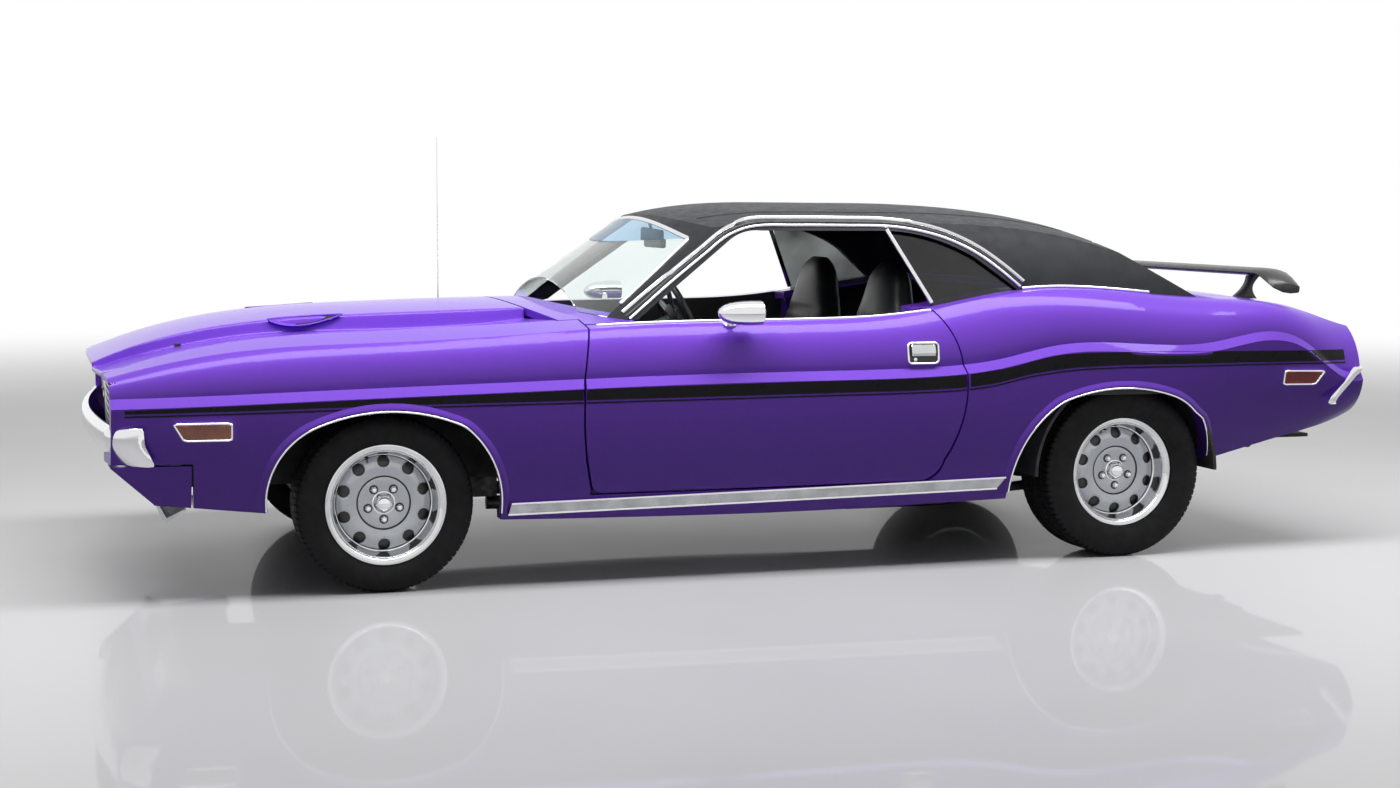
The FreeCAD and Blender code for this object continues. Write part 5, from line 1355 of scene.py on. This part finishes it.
class CAR_OT_wheel_trim(Operator):
    """Slotted steel wheels with polished rings, conical caps, nuts and valves, and painted shade in their
    recesses
    """
    bl_idname = "muscle_car.wheel_trim"
    bl_label = "Wheel trim"

    BARREL = [(0.166, 0.03), (0.168, 0.01), (0.168, -0.048), (0.183, -0.06), (0.183, -0.0985), (0.186, -0.1),
              (0.204, -0.1), (0.207, -0.0985), (0.207, -0.095), (0.1925, -0.0925), (0.1895, -0.09),
              (0.1895, -0.056), (0.175, -0.044), (0.175, 0.034), (0.1895, 0.06), (0.1895, 0.09),
              (0.1925, 0.0925), (0.205, 0.093), (0.207, 0.096)]
    # The dished centre from the slots in to the hub, and the flat disc that carries the nuts.
    DISH = [(0.168, 0.029), (0.1665, 0.0335), (0.164, 0.037), (0.16, 0.0405), (0.152, 0.0455),
            (0.144, 0.0495), (0.136, 0.052), (0.128, 0.053), (0.12, 0.0527), (0.11, 0.051), (0.1, 0.0488),
            (0.0945, 0.0478)]
    DISC = [(0.093, 0.0462), (0.0915, 0.0435), (0.0895, 0.044), (0.0885, 0.0456), (0.087, 0.046),
            (0.076, 0.046), (0.04, 0.046), (0.038, 0.045)]
    SLOTS = 10
    SLOT_MIDDLE, SLOT_HALF, SLOT_WIDE = 0.1445, 0.0205, 0.0205
    BOLTS, BOLT_RADIUS = 5, 0.05715
    RING = [(0.2035, 0.0975), (0.2076, 0.1), (0.2074, 0.1032), (0.2045, 0.105), (0.199, 0.1046),
            (0.193, 0.102), (0.188, 0.0978), (0.1856, 0.0948), (0.1846, 0.0925), (0.1836, 0.0921),
            (0.1826, 0.0928), (0.1815, 0.0918), (0.18, 0.086), (0.177, 0.072), (0.1742, 0.06),
            (0.1722, 0.05), (0.1702, 0.044), (0.168, 0.0412), (0.1662, 0.0408), (0.1652, 0.0394),
            (0.166, 0.0375)]
    CAP = [(0.0405, 0.0445), (0.0402, 0.047), (0.0385, 0.0484), (0.0362, 0.049), (0.0352, 0.051),
           (0.034, 0.056), (0.03, 0.065), (0.0235, 0.0745), (0.015, 0.0815), (0.007, 0.0848),
           (0.0005, 0.0856)]
    # The nut pockets, the groove round the disc and the backing behind the slots are painted shade: black
    # sheets standing for the shadow in these hollows.
    NUT_POCKET_SHADE = [(0.0164, 0.0458), (0.0158, 0.0466), (0.0002, 0.0466)]
    NUT_DOME = [(0.01, 0.054), (0.0097, 0.058), (0.0082, 0.0622), (0.005, 0.065), (0.0002, 0.0658)]
    SLOT_SHADE_BACKING = [(0.038, 0.035), (0.09, 0.034), (0.113, 0.038), (0.13, 0.039), (0.148, 0.034), (0.167, 0.02)]
    GROOVE_SHADE_RING = [(0.0886, 0.046), (0.0896, 0.0452), (0.0915, 0.0452), (0.0928, 0.0466)]

    def execute(self, context):
        for name in WHEELS:
            place, body = wheel_place(name), "wheel_" + name
            self.centre(name, place, body)
            ring = Shape()
            ring.lathe(self.RING, 128, place)
            ring.make("trim_ring_" + name, "polished_steel", body, "chrome", sharp=50)
            cap = Shape()
            cap.lathe(self.CAP, 64, place)
            for hole in self.around_bolts(place):
                cap.lathe(self.NUT_DOME, 24, hole)
                cap.lathe([(0.0118, 0.046), (0.0118, 0.053), (0.0108, 0.0545), (0.0095, 0.0548)], 6, hole)
            cap.make("cap_and_nuts_" + name, "chrome", body, "chrome", sharp=32)
            # Painted shade: black liners in the nut pockets, in the disc's groove and behind the slots, so
            # these hollows look shadowed.
            dark = Shape()
            for hole in self.around_bolts(place):
                dark.lathe(self.NUT_POCKET_SHADE, 32, hole)
            dark.lathe(self.GROOVE_SHADE_RING, 96, place)
            dark.lathe(self.SLOT_SHADE_BACKING, 96, place)
            dark.make("wheel_dark_" + name, "satin_black", body, "dark", sharp=50)
            valve = Shape()
            hole = place @ Matrix.Rotation(math.radians(200), 4, "Y") @ Matrix.Translation((0.1705, 0, 0))
            valve.lathe([(0.0002, 0.08), (0.0028, 0.0795), (0.003, 0.072), (0.004, 0.0715), (0.0044, 0.046),
                         (0.0058, 0.042)], 16, hole)
            valve.make("valve_" + name, "tyre_rubber", body, "rubber")
        return {"FINISHED"}

    def centre(self, name, place, body):
        """The painted steel wheel itself, with ten slots pressed through its dish."""
        steel = Shape()
        steel.lathe(self.BARREL, 120, place)
        steel.lathe(self.DISC, 120, place)
        depth = line_through(self.DISH[::-1])
        inner, outer = self.SLOT_MIDDLE - self.SLOT_HALF, self.SLOT_MIDDLE + self.SLOT_HALF
        radii = [r for r, _ in self.DISH if r > outer + 0.001]
        radii += [self.SLOT_MIDDLE + self.SLOT_HALF * math.cos(math.pi * k / 12) for k in range(13)]
        radii += [r for r, _ in self.DISH if r < inner - 0.001]
        half = math.pi / self.SLOTS

        def slot_half(r):
            """Half the angle that a slot takes up at a radius."""
            across = max(0.0, 1 - ((r - self.SLOT_MIDDLE) / self.SLOT_HALF) ** 2)
            return self.SLOT_WIDE * across ** 0.5 / r

        shares = (0, 0.12, 0.3, 0.55, 0.8, 1)
        for k in range(self.SLOTS):
            for way in (1, -1):
                rows = []
                for r in radii:
                    edge = slot_half(r)
                    row = []
                    for share in shares:
                        turn = half * 2 * k + way * (edge + (half - edge) * share)
                        roll = 0.004 * max(0.0, 1 - share / 0.3) if inner <= r <= outer else 0.0
                        row.append(place @ Vector((r * math.cos(turn), depth(r) - roll * 0.6,
                                                   r * math.sin(turn))))
                    rows.append(row)
                steel.grid(rows)
            wall = []
            for step in range(48):
                turn = 2 * math.pi * step / 48
                r = self.SLOT_MIDDLE + self.SLOT_HALF * math.cos(turn)
                along = half * 2 * k + math.copysign(slot_half(r), math.sin(turn) or 1)
                wall.append([place @ Vector((r * math.cos(along), depth(r) - 0.0024 - sink,
                                             r * math.sin(along))) for sink in (0.0, 0.004, 0.01)])
            steel.grid(wall, ring=True)
        steel.make("wheel_steel_" + name, "wheel_silver", body, "rim", ("rim_" + name,), sharp=42)

    def around_bolts(self, place):
        """The place of each wheel nut."""
        for k in range(self.BOLTS):
            turn = Matrix.Rotation(math.radians(360 / self.BOLTS * k), 4, "Y")
            yield place @ turn @ Matrix.Translation((self.BOLT_RADIUS, 0, 0))


# ---------------------------------------------------------------- cabin

# How far each front seat and the steering wheel are from the middle of the car, and the wheel's tilt.
SEAT_SIDE = 0.395
TILT = math.radians(24)
# Points round a cushion and along its spine, and how square its section is.
AROUND, ALONG, SQUARENESS = 96, 240, 0.55


def stuffed(spine, widths, depths, centre, front, seams=(), flutes=(), rows=56):
    """A crowned closed cushion along a spine in the XZ plane.

    widths and depths are (share of the length, size) tables; front is +1 where the sitting side lies left of
    the way along the spine; seams are (share, depth, half length) creases across it, and flutes are (start,
    end, count, depth, half width) channels along it.
    """
    shape = Shape()
    path = smooth_path([(x, 0, z) for x, z in spine], ALONG)
    section, last = rounded_loop(AROUND, 1, 1, (SQUARENESS, SQUARENESS)), ALONG - 1
    wide, deep = line_through(widths), line_through(depths)
    loops = []
    for i in range(rows):
        t = 0.5 - 0.5 * math.cos(math.pi * i / (rows - 1))
        step = min(last - 1, max(1, int(t * last)))
        place = path[step] + (path[step + 1] - path[step]) * (t * last - step)
        along = (path[step + 1] - path[step - 1]).normalized()
        out = Vector((-along.z, 0, along.x)) * front
        end = min(1, 1 - (2 * t - 1) ** 8) ** 0.5
        pinch = sum(depth * math.exp(-((t - at) / half) ** 2) for at, depth, half in seams)
        loop = []
        for u, v in section:
            lift = v * deep(t) / 2 * (0.25 + 0.75 * end)
            if v > 0:
                lift += 0.016 * (1 - u * u) * end
                for start, stop, count, depth, half in flutes:
                    if start < t < stop and abs(u) < half:
                        edge = min(1, (t - start) / 0.04, (stop - t) / 0.04)
                        wave = abs(math.sin(math.pi * count * (u / half + 1) / 2))
                        lift -= depth * edge * (1 - wave) ** 3
            side = u * wide(t) / 2 * (0.55 + 0.45 * end)
            loop.append(place + out * (lift - pinch * (v > 0)) + Vector((0, centre + side * (1 - pinch), 0)))
        loops.append(loop)
    shape.grid(loops, loop=True)
    for row, way in ((loops[0], -1), (loops[-1], 1)):
        middle = sum(row, Vector()) / len(row)
        shape.add(row + [middle], [[k, (k + 1) % AROUND, AROUND][::way] for k in range(AROUND)])
    return shape


class CAR_OT_seats(Operator):
    """High-backed bucket seats and the rear bench"""
    bl_idname = "muscle_car.seats"
    bl_label = "Seats"

    def execute(self, context):
        self.buckets()
        self.bench()
        return {"FINISHED"}

    def buckets(self):
        """Two front seats, and their piping and hinge covers."""
        cushions, backs, piping = Shape(), Shape(), Shape()
        for side in SIDES:
            y = side * SEAT_SIDE
            part = stuffed([(0.5, 0.44), (0.25, 0.437), (0.02, 0.462), (-0.043, 0.43)],
                           [(0, 0.44), (0.3, 0.485), (0.8, 0.48), (1, 0.43)],
                           [(0, 0.12), (0.5, 0.138), (0.85, 0.13), (1, 0.09)], y, -1,
                           seams=((0.86, 0.008, 0.012),), flutes=((0.1, 0.84, 7, 0.01, 0.62),))
            cushions.add(part.points, part.faces)
            part = stuffed([(0.485, 0.45), (0.535, 0.7), (0.572, 0.92), (0.59, 1.108)],
                           [(0, 0.43), (0.35, 0.485), (0.62, 0.46), (0.8, 0.33), (0.93, 0.27), (1, 0.2)],
                           [(0, 0.12), (0.4, 0.135), (0.7, 0.115), (0.9, 0.095), (1, 0.07)], y, 1,
                           seams=((0.66, 0.007, 0.01),), flutes=((0.08, 0.64, 7, 0.01, 0.6),))
            backs.add(part.points, part.faces)
            for reach in (0.236, -0.236):
                edge = smooth_path([(0.47, y + reach, 0.43), (0.25, y + reach, 0.425),
                                    (0.02, y + reach * 0.985, 0.445)], 24)
                piping.sweep(edge, round_section(0.004, 8), Vector((0, side, 0)))
            piping.lathe([(0, -0.25), (0.03, -0.25), (0.034, -0.244), (0.034, 0.244), (0.03, 0.25),
                          (0, 0.25)], 24, Matrix.Translation((0.508, y, 0.43)))
        for name, shape in (("front_seat_cushions", cushions), ("front_seat_backs", backs)):
            made = shape.make(name, "seat_vinyl", "body", "interior", replaces=("front_seats",), sharp=70)
        piping.make("front_seat_piping", "satin_trim", "body", "silver_trim", replaces=("front_seats",),
                    sharp=70)

    def bench(self):
        """The rear seat, with two places."""
        low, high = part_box("rear_seat")
        cushion, back = Shape(), Shape()
        for side in SIDES:
            y = side * 0.29
            part = stuffed([(high.x - 0.1, 0.4), (0.85, 0.405), (low.x + 0.055, 0.428),
                            (low.x + 0.012, 0.38)], [(0, 0.57), (0.3, 0.585), (1, 0.575)],
                           [(0, 0.14), (0.6, 0.17), (1, 0.12)], y, -1, seams=((0.88, 0.007, 0.012),),
                           flutes=((0.1, 0.86, 8, 0.01, 0.7),), rows=48)
            cushion.add(part.points, part.faces)
            part = stuffed([(0.985, 0.49), (1.035, 0.66), (1.088, 0.8), (1.1, 0.855)],
                           [(0, 0.575), (0.5, 0.585), (1, 0.565)], [(0, 0.12), (0.6, 0.13), (1, 0.07)], y, 1,
                           seams=((0.82, 0.006, 0.012),), flutes=((0.08, 0.8, 8, 0.01, 0.7),), rows=48)
            back.add(part.points, part.faces)
        for name, shape in (("rear_seat_cushion", cushion), ("rear_seat_back", back)):
            made = shape.make(name, "seat_vinyl", "body", "interior", replaces=("rear_seat",), sharp=70)


class CAR_OT_cabin(Operator):
    """Gauges, wheel, console, door trims, inside mirror and visors"""
    bl_idname = "muscle_car.cabin"
    bl_label = "Cabin fittings"

    # Each gauge: distance across the car, and radius.
    DIALS = ((-0.55, 0.045), (-0.445, 0.055), (-0.315, 0.055), (-0.205, 0.045), (0.0, 0.035), (0.075, 0.035))
    DIAL_HEIGHT = 0.8
    CONSOLE_HALF = 0.085

    def execute(self, context):
        self.steering_wheel()
        self.instruments()
        self.console()
        self.door_trims()
        self.quarter_trims()
        self.overhead()
        self.shade_band()
        return {"FINISHED"}

    def steering_wheel(self):
        """Rim, hub and three double spokes, facing along the column."""
        centre = Vector((-0.276, -SEAT_SIDE, 0.905))
        axle = Vector((math.cos(TILT), 0, math.sin(TILT)))
        turn = Vector((0, 1, 0)).rotation_difference(axle).to_matrix().to_4x4()
        place = Matrix.Translation(centre) @ turn
        rim, spokes = Shape(), Shape()
        ring = [(0.176 + r, y) for r, y in round_section(0.0125, 20)]
        rim.lathe(ring + ring[:1], 96, place)
        rim.lathe([(0.0, 0.012), (0.045, 0.01), (0.058, 0.0), (0.06, -0.014), (0.045, -0.034),
                   (0.0, -0.036)], 48, place)
        for spot in (0, math.pi, -math.pi / 2):
            direction = Matrix.Rotation(spot, 4, "Y") @ Vector((1, 0, 0))
            cross = Matrix.Rotation(spot, 4, "Y") @ Vector((0, 0, 1))
            for shift in (-0.013, 0.013):
                path = [place @ (direction * r + cross * shift + Vector((0, y, 0)))
                        for r, y in ((0.05, -0.008), (0.09, -0.006), (0.13, -0.004), (0.168, 0.0))]
                spokes.sweep(smooth_path(path, 12), round_section(0.0055, 10), axle)
        rim.make("steering_wheel_rim", "trim_vinyl", "steering_wheel", "interior",
                 replaces=("steering_wheel",))
        spokes.make("steering_wheel_spokes", "satin_trim", "steering_wheel", "silver_trim",
                    replaces=("steering_wheel",))

    def instruments(self):
        """Gauges and the glovebox trim, on the dashboard's face."""
        dash = Skin("dashboard")
        rings, faces = Shape(), Shape()
        for y, radius in self.DIALS:
            found = dash.hit((0.2, y, self.DIAL_HEIGHT), (-1, 0, 0))
            if not found:
                continue
            place = placed((found[0].x, y, self.DIAL_HEIGHT), -90, "Z")
            rings.lathe([(radius - 0.007, -0.004), (radius - 0.007, 0.007), (radius - 0.003, 0.011),
                         (radius, 0.01), (radius + 0.002, 0.004), (radius + 0.002, -0.004)], 40, place)
            faces.lathe([(0, 0.002), (radius - 0.006, 0.003), (radius - 0.006, -0.003), (0, -0.003)], 40,
                        place)
        glovebox = dash.hit((0.2, 0.42, self.DIAL_HEIGHT), (-1, 0, 0))
        if glovebox:
            x = glovebox[0].x
            for a, b in (((x - 0.004, 0.22, 0.735), (x + 0.008, 0.66, 0.742)),
                         ((x - 0.004, 0.22, 0.848), (x + 0.008, 0.66, 0.855))):
                rings.block(a, b, 0.002)
            rings.block((x - 0.004, 0.415, 0.82), (x + 0.012, 0.465, 0.838), 0.004)
        rings.make("gauge_rings", "satin_trim", "body", "silver_trim")
        faces.make("gauge_faces", "dark_glass", "body", "dark")

    def console(self):
        """A raised console on the tunnel, and the shift lever."""
        floor = Skin("floor_pan")
        base, stick = Shape(), Shape()
        rows = []
        for x in spread(-0.5, 0.4, 12):
            found = floor.top(x, 0.0)
            z = (found[0].z if found else 0.45) - 0.01
            rise = 0.1 + 0.03 * math.sin(math.pi * (x + 0.5) / 0.9)
            half = [(-1, -0.03), (-0.92, rise * 0.8), (-0.75, rise)]
            section = half + [(0, rise + 0.006)] + [(-share, up) for share, up in reversed(half)]
            rows.append([Vector((x, self.CONSOLE_HALF * share, z + up)) for share, up in section])
        base.grid(rows, loop=True)
        base.add(rows[0] + rows[-1], [list(range(6, -1, -1)), list(range(7, 14))])
        base.make("floor_console", "trim_vinyl", "body", "interior", subdivide=2)
        top = rows[4][3]
        stick.lathe([(0, -0.006), (0.055, -0.004), (0.06, 0.004), (0.05, 0.01), (0.014, 0.012), (0.01, 0.02),
                     (0, 0.02)], 40, placed(top, 90, "X"))
        stick.sweep(smooth_path([top, top + Vector((0.01, 0, 0.08)), top + Vector((0.0, -0.01, 0.15))], 16),
                    round_section(0.007, 12), Vector((0, 1, 0)))
        stick.make("shifter_stick", "chrome", "body", "chrome")
        knob = Shape()
        knob.lathe([(0, -0.024), (0.014, -0.021), (0.023, -0.008), (0.024, 0.006), (0.016, 0.02),
                    (0, 0.025)], 32, Matrix.Translation(top + Vector((0.0, -0.01, 0.165)))
                   @ Matrix.Rotation(math.radians(90), 4, "X"))
        knob.make("shifter_knob", "trim_vinyl", "body", "dark")

    def door_trims(self):
        """Lining, armrest, bright strip and handle of each door."""
        for side, word in SIDES.items():
            panel, metal = Shape(), Shape()
            low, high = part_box(f"door_{word}")
            inner = min(abs(low.y), abs(high.y))
            self.lining(panel, f"door_{word}", side, (-0.6, 0.59), 0.4)
            near, far = sorted((side * (inner - 0.055), side * (inner - 0.01)))
            panel.block((-0.1, near, 0.64), (0.36, far, 0.69), 0.018)
            metal.sweep([(x, side * (inner - 0.017), 0.565) for x in spread(-0.5, 0.52, 12)],
                        crowned(0.012, 0.003), Vector((0, -side, 0)))
            knob = placed((0.02, side * (inner - 0.016), 0.74), 0 if side == LEFT else 180, "Z")
            metal.lathe([(0, 0.02), (0.012, 0.019), (0.017, 0.012), (0.022, 0.0), (0, 0.0)], 28, knob)
            handle = [knob @ Vector(p) for p in ((0, 0.014, 0), (0.04, 0.02, -0.02), (0.09, 0.022, -0.03))]
            metal.sweep(smooth_path(handle, 12), round_section(0.005, 8), Vector((0, -side, 0)))
            panel.make(f"door_trim_{word}", "seat_vinyl", f"door_{word}", "interior")
            metal.make(f"door_trim_metal_{word}", "satin_trim", f"door_{word}", "silver_trim")

    def lining(self, shape, node, side, ends, low):
        """A skin laid on a panel's inner face, from a lower level to its top."""
        skin = Skin(node)
        rows = []
        for x in spread(*ends, 40):
            def seen(z):
                return skin.hit((x, 0, z), (0, side, 0))
            if not seen(low + 0.25):
                continue
            top = edge_between(lambda z: seen(z) is not None, low + 0.25, 1.1)
            row = []
            for z in spread(low, top - 0.002, 22):
                found = seen(z)
                if not found:
                    break
                row.append(found[0] + Vector((0, -side * 0.003, 0)))
            if len(row) == 22:
                rows.append(row)
        if len(rows) > 1:
            shape.grid(rows)

    def quarter_trims(self):
        """Lining beside the rear seat."""
        for side, word in SIDES.items():
            panel = Shape()
            self.lining(panel, f"quarter_panel_{word}", side, (0.66, 1.6), 0.62)
            panel.make(f"quarter_trim_{word}", "trim_vinyl", "body", "interior")

    def overhead(self):
        """The inside mirror and the sun visors."""
        mirror, visors = Shape(), Shape()
        mirror.block((-0.262, -0.125, 1.158), (-0.24, 0.125, 1.216), 0.01)
        stem = smooth_path([(-0.25, 0, 1.205), (-0.262, 0, 1.235), (-0.262, 0, 1.262)], 10)
        mirror.sweep(stem, round_section(0.006, 10), Vector((0, 1, 0)))
        for side in SIDES:
            visors.block((-0.235, side * 0.33 - 0.2, 1.236), (-0.1, side * 0.33 + 0.2, 1.252), 0.007)
        mirror.make("inside_mirror", "trim_vinyl", "body", "dark")
        visors.make("sun_visors", "seat_vinyl", "body", "interior")

    def shade_band(self):
        """A tinted band along the top of the windshield, level along its lower edge."""
        glass = Skin("windshield")
        rows, tops, half, low = [], [], 0.575, 1.185
        for y in spread(-half, half, 51):
            top = edge_between(lambda z: glass.hit((-2.0, y, z), (1, 0, 0)) is not None, 1.0, 1.3) - 0.006
            tops.append((y, top))
        for share in spread(0, 1, 7):
            row = []
            for y, top in tops:
                level = top + (min(low + 0.02 * (y / half) ** 2, top - 0.002) - top) * share
                found = glass.hit((-2.0, y, level), (1, 0, 0))
                row.append(found[0] + found[1] * 0.0012)
            rows.append(row)
        band = Shape()
        band.grid(rows)
        band.make("windshield_shade_band", "shade_glass", "body", "glass")


# ---------------------------------------------------------------- stage

CAMERA_PLACE = Vector((-2.57, -8.079, 1.348))
CAMERA_YAW, CAMERA_PITCH, CAMERA_ROLL = 17.239, 5.215, 0.163
LENS = 54.89


def seen_directly(tree):
    """1 for rays from the camera, mirrors and glass, 0 for light that bounces off dull surfaces."""
    path = tree.nodes.new("ShaderNodeLightPath")
    socket = path.outputs["Is Camera Ray"]
    for kind in ("Is Glossy Ray", "Is Transmission Ray"):
        either = tree.nodes.new("ShaderNodeMath")
        either.operation = "MAXIMUM"
        tree.links.new(socket, either.inputs[0])
        tree.links.new(path.outputs[kind], either.inputs[1])
        socket = either.outputs[0]
    return socket


class CAR_OT_stage(Operator):
    """Pale floor that fades to white, soft studio lamps and the camera"""
    bl_idname = "muscle_car.stage"
    bl_label = "Studio"

    # Each lamp: place, point it faces, width, depth and power.
    LAMPS = (("overhead", (0, -1.6, 4.9), (0, 0, 0.3), 8.5, 1.5, 370),
             ("near_fill", (-1.5, -8.5, 3.0), (0, 0, 0.5), 8.0, 3.0, 18),
             ("far_fill", (1.0, 8.5, 3.5), (0, 0, 0.5), 8.0, 3.0, 18))
    # The floor turns to white between these distances from the car.
    FADE_START, FADE_END = 6.0, 15.0
    BOUNCE_SHADE = (0.09, 0.09, 0.095, 1)
    # The white surroundings' strength for light on dull surfaces, and seen directly.
    SKY_LIGHT, SKY_SEEN = 0.12, 1.0

    def execute(self, context):
        scene = context.scene
        self.floor(scene.car_colours.floor)
        scene.world = self.world()
        for name, place, aim, width, depth, power in self.LAMPS:
            lamp = bpy.data.objects.new(name, bpy.data.lights.new(name, "AREA"))
            lamp.data.shape = "RECTANGLE"
            lamp.data.size, lamp.data.size_y, lamp.data.energy = width, depth, power
            lamp.visible_glossy = name == "overhead"
            lamp.location = place
            lamp.rotation_euler = (Vector(aim) - Vector(place)).to_track_quat("-Z", "Y").to_euler()
            scene.collection.objects.link(lamp)
        camera = bpy.data.objects.new("camera", bpy.data.cameras.new("camera"))
        camera.data.lens = LENS
        camera.data.clip_end = 200
        camera.location = CAMERA_PLACE
        turn = Euler((math.radians(90 - CAMERA_PITCH), 0, math.radians(-CAMERA_YAW)), "XYZ").to_matrix()
        camera.rotation_euler = (turn @ Matrix.Rotation(math.radians(CAMERA_ROLL), 3, "Z")).to_euler()
        scene.collection.objects.link(camera)
        scene.camera = camera
        scene.view_settings.view_transform = "Standard"
        return {"FINISHED"}

    def floor(self, shade):
        """A slightly glossy floor that fades to white far off, and bounces little light onto the car."""
        bpy.ops.mesh.primitive_plane_add(size=160, location=(0, 0, 0))
        floor = bpy.context.object
        floor.name = "studio_floor"
        ground = Finish("studio_floor", shade, 0.45, coat_weight=0.3, coat_roughness=0.03)
        ground.tint(ground.noise(0.4), 0.985, 1.01)
        ground.vary("Roughness", ground.noise(1.2), around(0.45, 0.03))
        ground.bump(ground.noise(60, 2), 0.0005, 0.03)
        seen = seen_directly(ground.tree)
        length = ground.node("ShaderNodeVectorMath", operation="LENGTH")
        ground.link(ground.place, length.inputs[0])
        fade = ground.node("ShaderNodeMapRange", interpolation_type="SMOOTHSTEP")
        fade.inputs["From Min"].default_value = self.FADE_START
        fade.inputs["From Max"].default_value = self.FADE_END
        ground.link(length.outputs["Value"], fade.inputs["Value"])
        share = ground.node("ShaderNodeMath", operation="MULTIPLY")
        ground.link(fade.outputs["Result"], share.inputs[0])
        ground.link(seen, share.inputs[1])
        white = ground.node("ShaderNodeEmission", Strength=1.0)
        mix = ground.node("ShaderNodeMixShader")
        ground.link(share.outputs[0], mix.inputs[0])
        dim = ground.node("ShaderNodeBsdfDiffuse", Color=self.BOUNCE_SHADE)
        either = ground.node("ShaderNodeMixShader")
        ground.link(seen, either.inputs[0])
        ground.link(dim.outputs[0], either.inputs[1])
        ground.link(ground.shader.outputs[0], either.inputs[2])
        ground.link(either.outputs[0], mix.inputs[1])
        ground.link(white.outputs[0], mix.inputs[2])
        ground.link(mix.outputs[0], ground.tree.nodes["Material Output"].inputs["Surface"])
        floor.data.materials.append(ground.material)

    def world(self):
        """White surroundings that light dull surfaces only a little."""
        world = bpy.data.worlds.new("studio")
        world.use_nodes = True
        sky = world.node_tree.nodes["Background"]
        sky.inputs["Color"].default_value = (1, 1, 1, 1)
        strength = world.node_tree.nodes.new("ShaderNodeMapRange")
        strength.inputs["To Min"].default_value = self.SKY_LIGHT
        strength.inputs["To Max"].default_value = self.SKY_SEEN
        world.node_tree.links.new(seen_directly(world.node_tree), strength.inputs["Value"])
        world.node_tree.links.new(strength.outputs["Result"], sky.inputs["Strength"])
        return world


# ---------------------------------------------------------------- panel and registration

PIECES = (CAR_OT_finishes, CAR_OT_stripes, CAR_OT_wheel_lips, CAR_OT_sill_mouldings,
          CAR_OT_window_mouldings, CAR_OT_windshield_trim, CAR_OT_markers, CAR_OT_door_handles,
          CAR_OT_bumpers, CAR_OT_hood, CAR_OT_wing, CAR_OT_mirrors, CAR_OT_nose, CAR_OT_tail, CAR_OT_tyres,
          CAR_OT_wheel_trim, CAR_OT_seats, CAR_OT_cabin, CAR_OT_stage)


class CAR_PT_sidebar(Panel):
    """Sizes, colours and pieces of the car"""
    bl_label = "Muscle Car"
    bl_space_type = "VIEW_3D"
    bl_region_type = "UI"
    bl_category = "Muscle Car"

    def draw(self, context):
        for group in (context.scene.car_sizes, context.scene.car_colours):
            for name in group.bl_rna.properties.keys():
                if name not in ("rna_type", "name"):
                    self.layout.prop(group, name)
        for piece in PIECES:
            self.layout.operator(piece.bl_idname)


CLASSES = (CarSizes, CarColours, *PIECES, CAR_PT_sidebar)


def register():
    for cls in CLASSES:
        bpy.utils.register_class(cls)
    bpy.types.Scene.car_sizes = PointerProperty(type=CarSizes)
    bpy.types.Scene.car_colours = PointerProperty(type=CarColours)


def unregister():
    del bpy.types.Scene.car_colours
    del bpy.types.Scene.car_sizes
    for cls in reversed(CLASSES):
        bpy.utils.unregister_class(cls)


def main():
    register()
    for piece in PIECES:
        name = piece.bl_idname.split(".")[1]
        getattr(bpy.ops.muscle_car, name)()


if __name__ == "__main__":
    main()
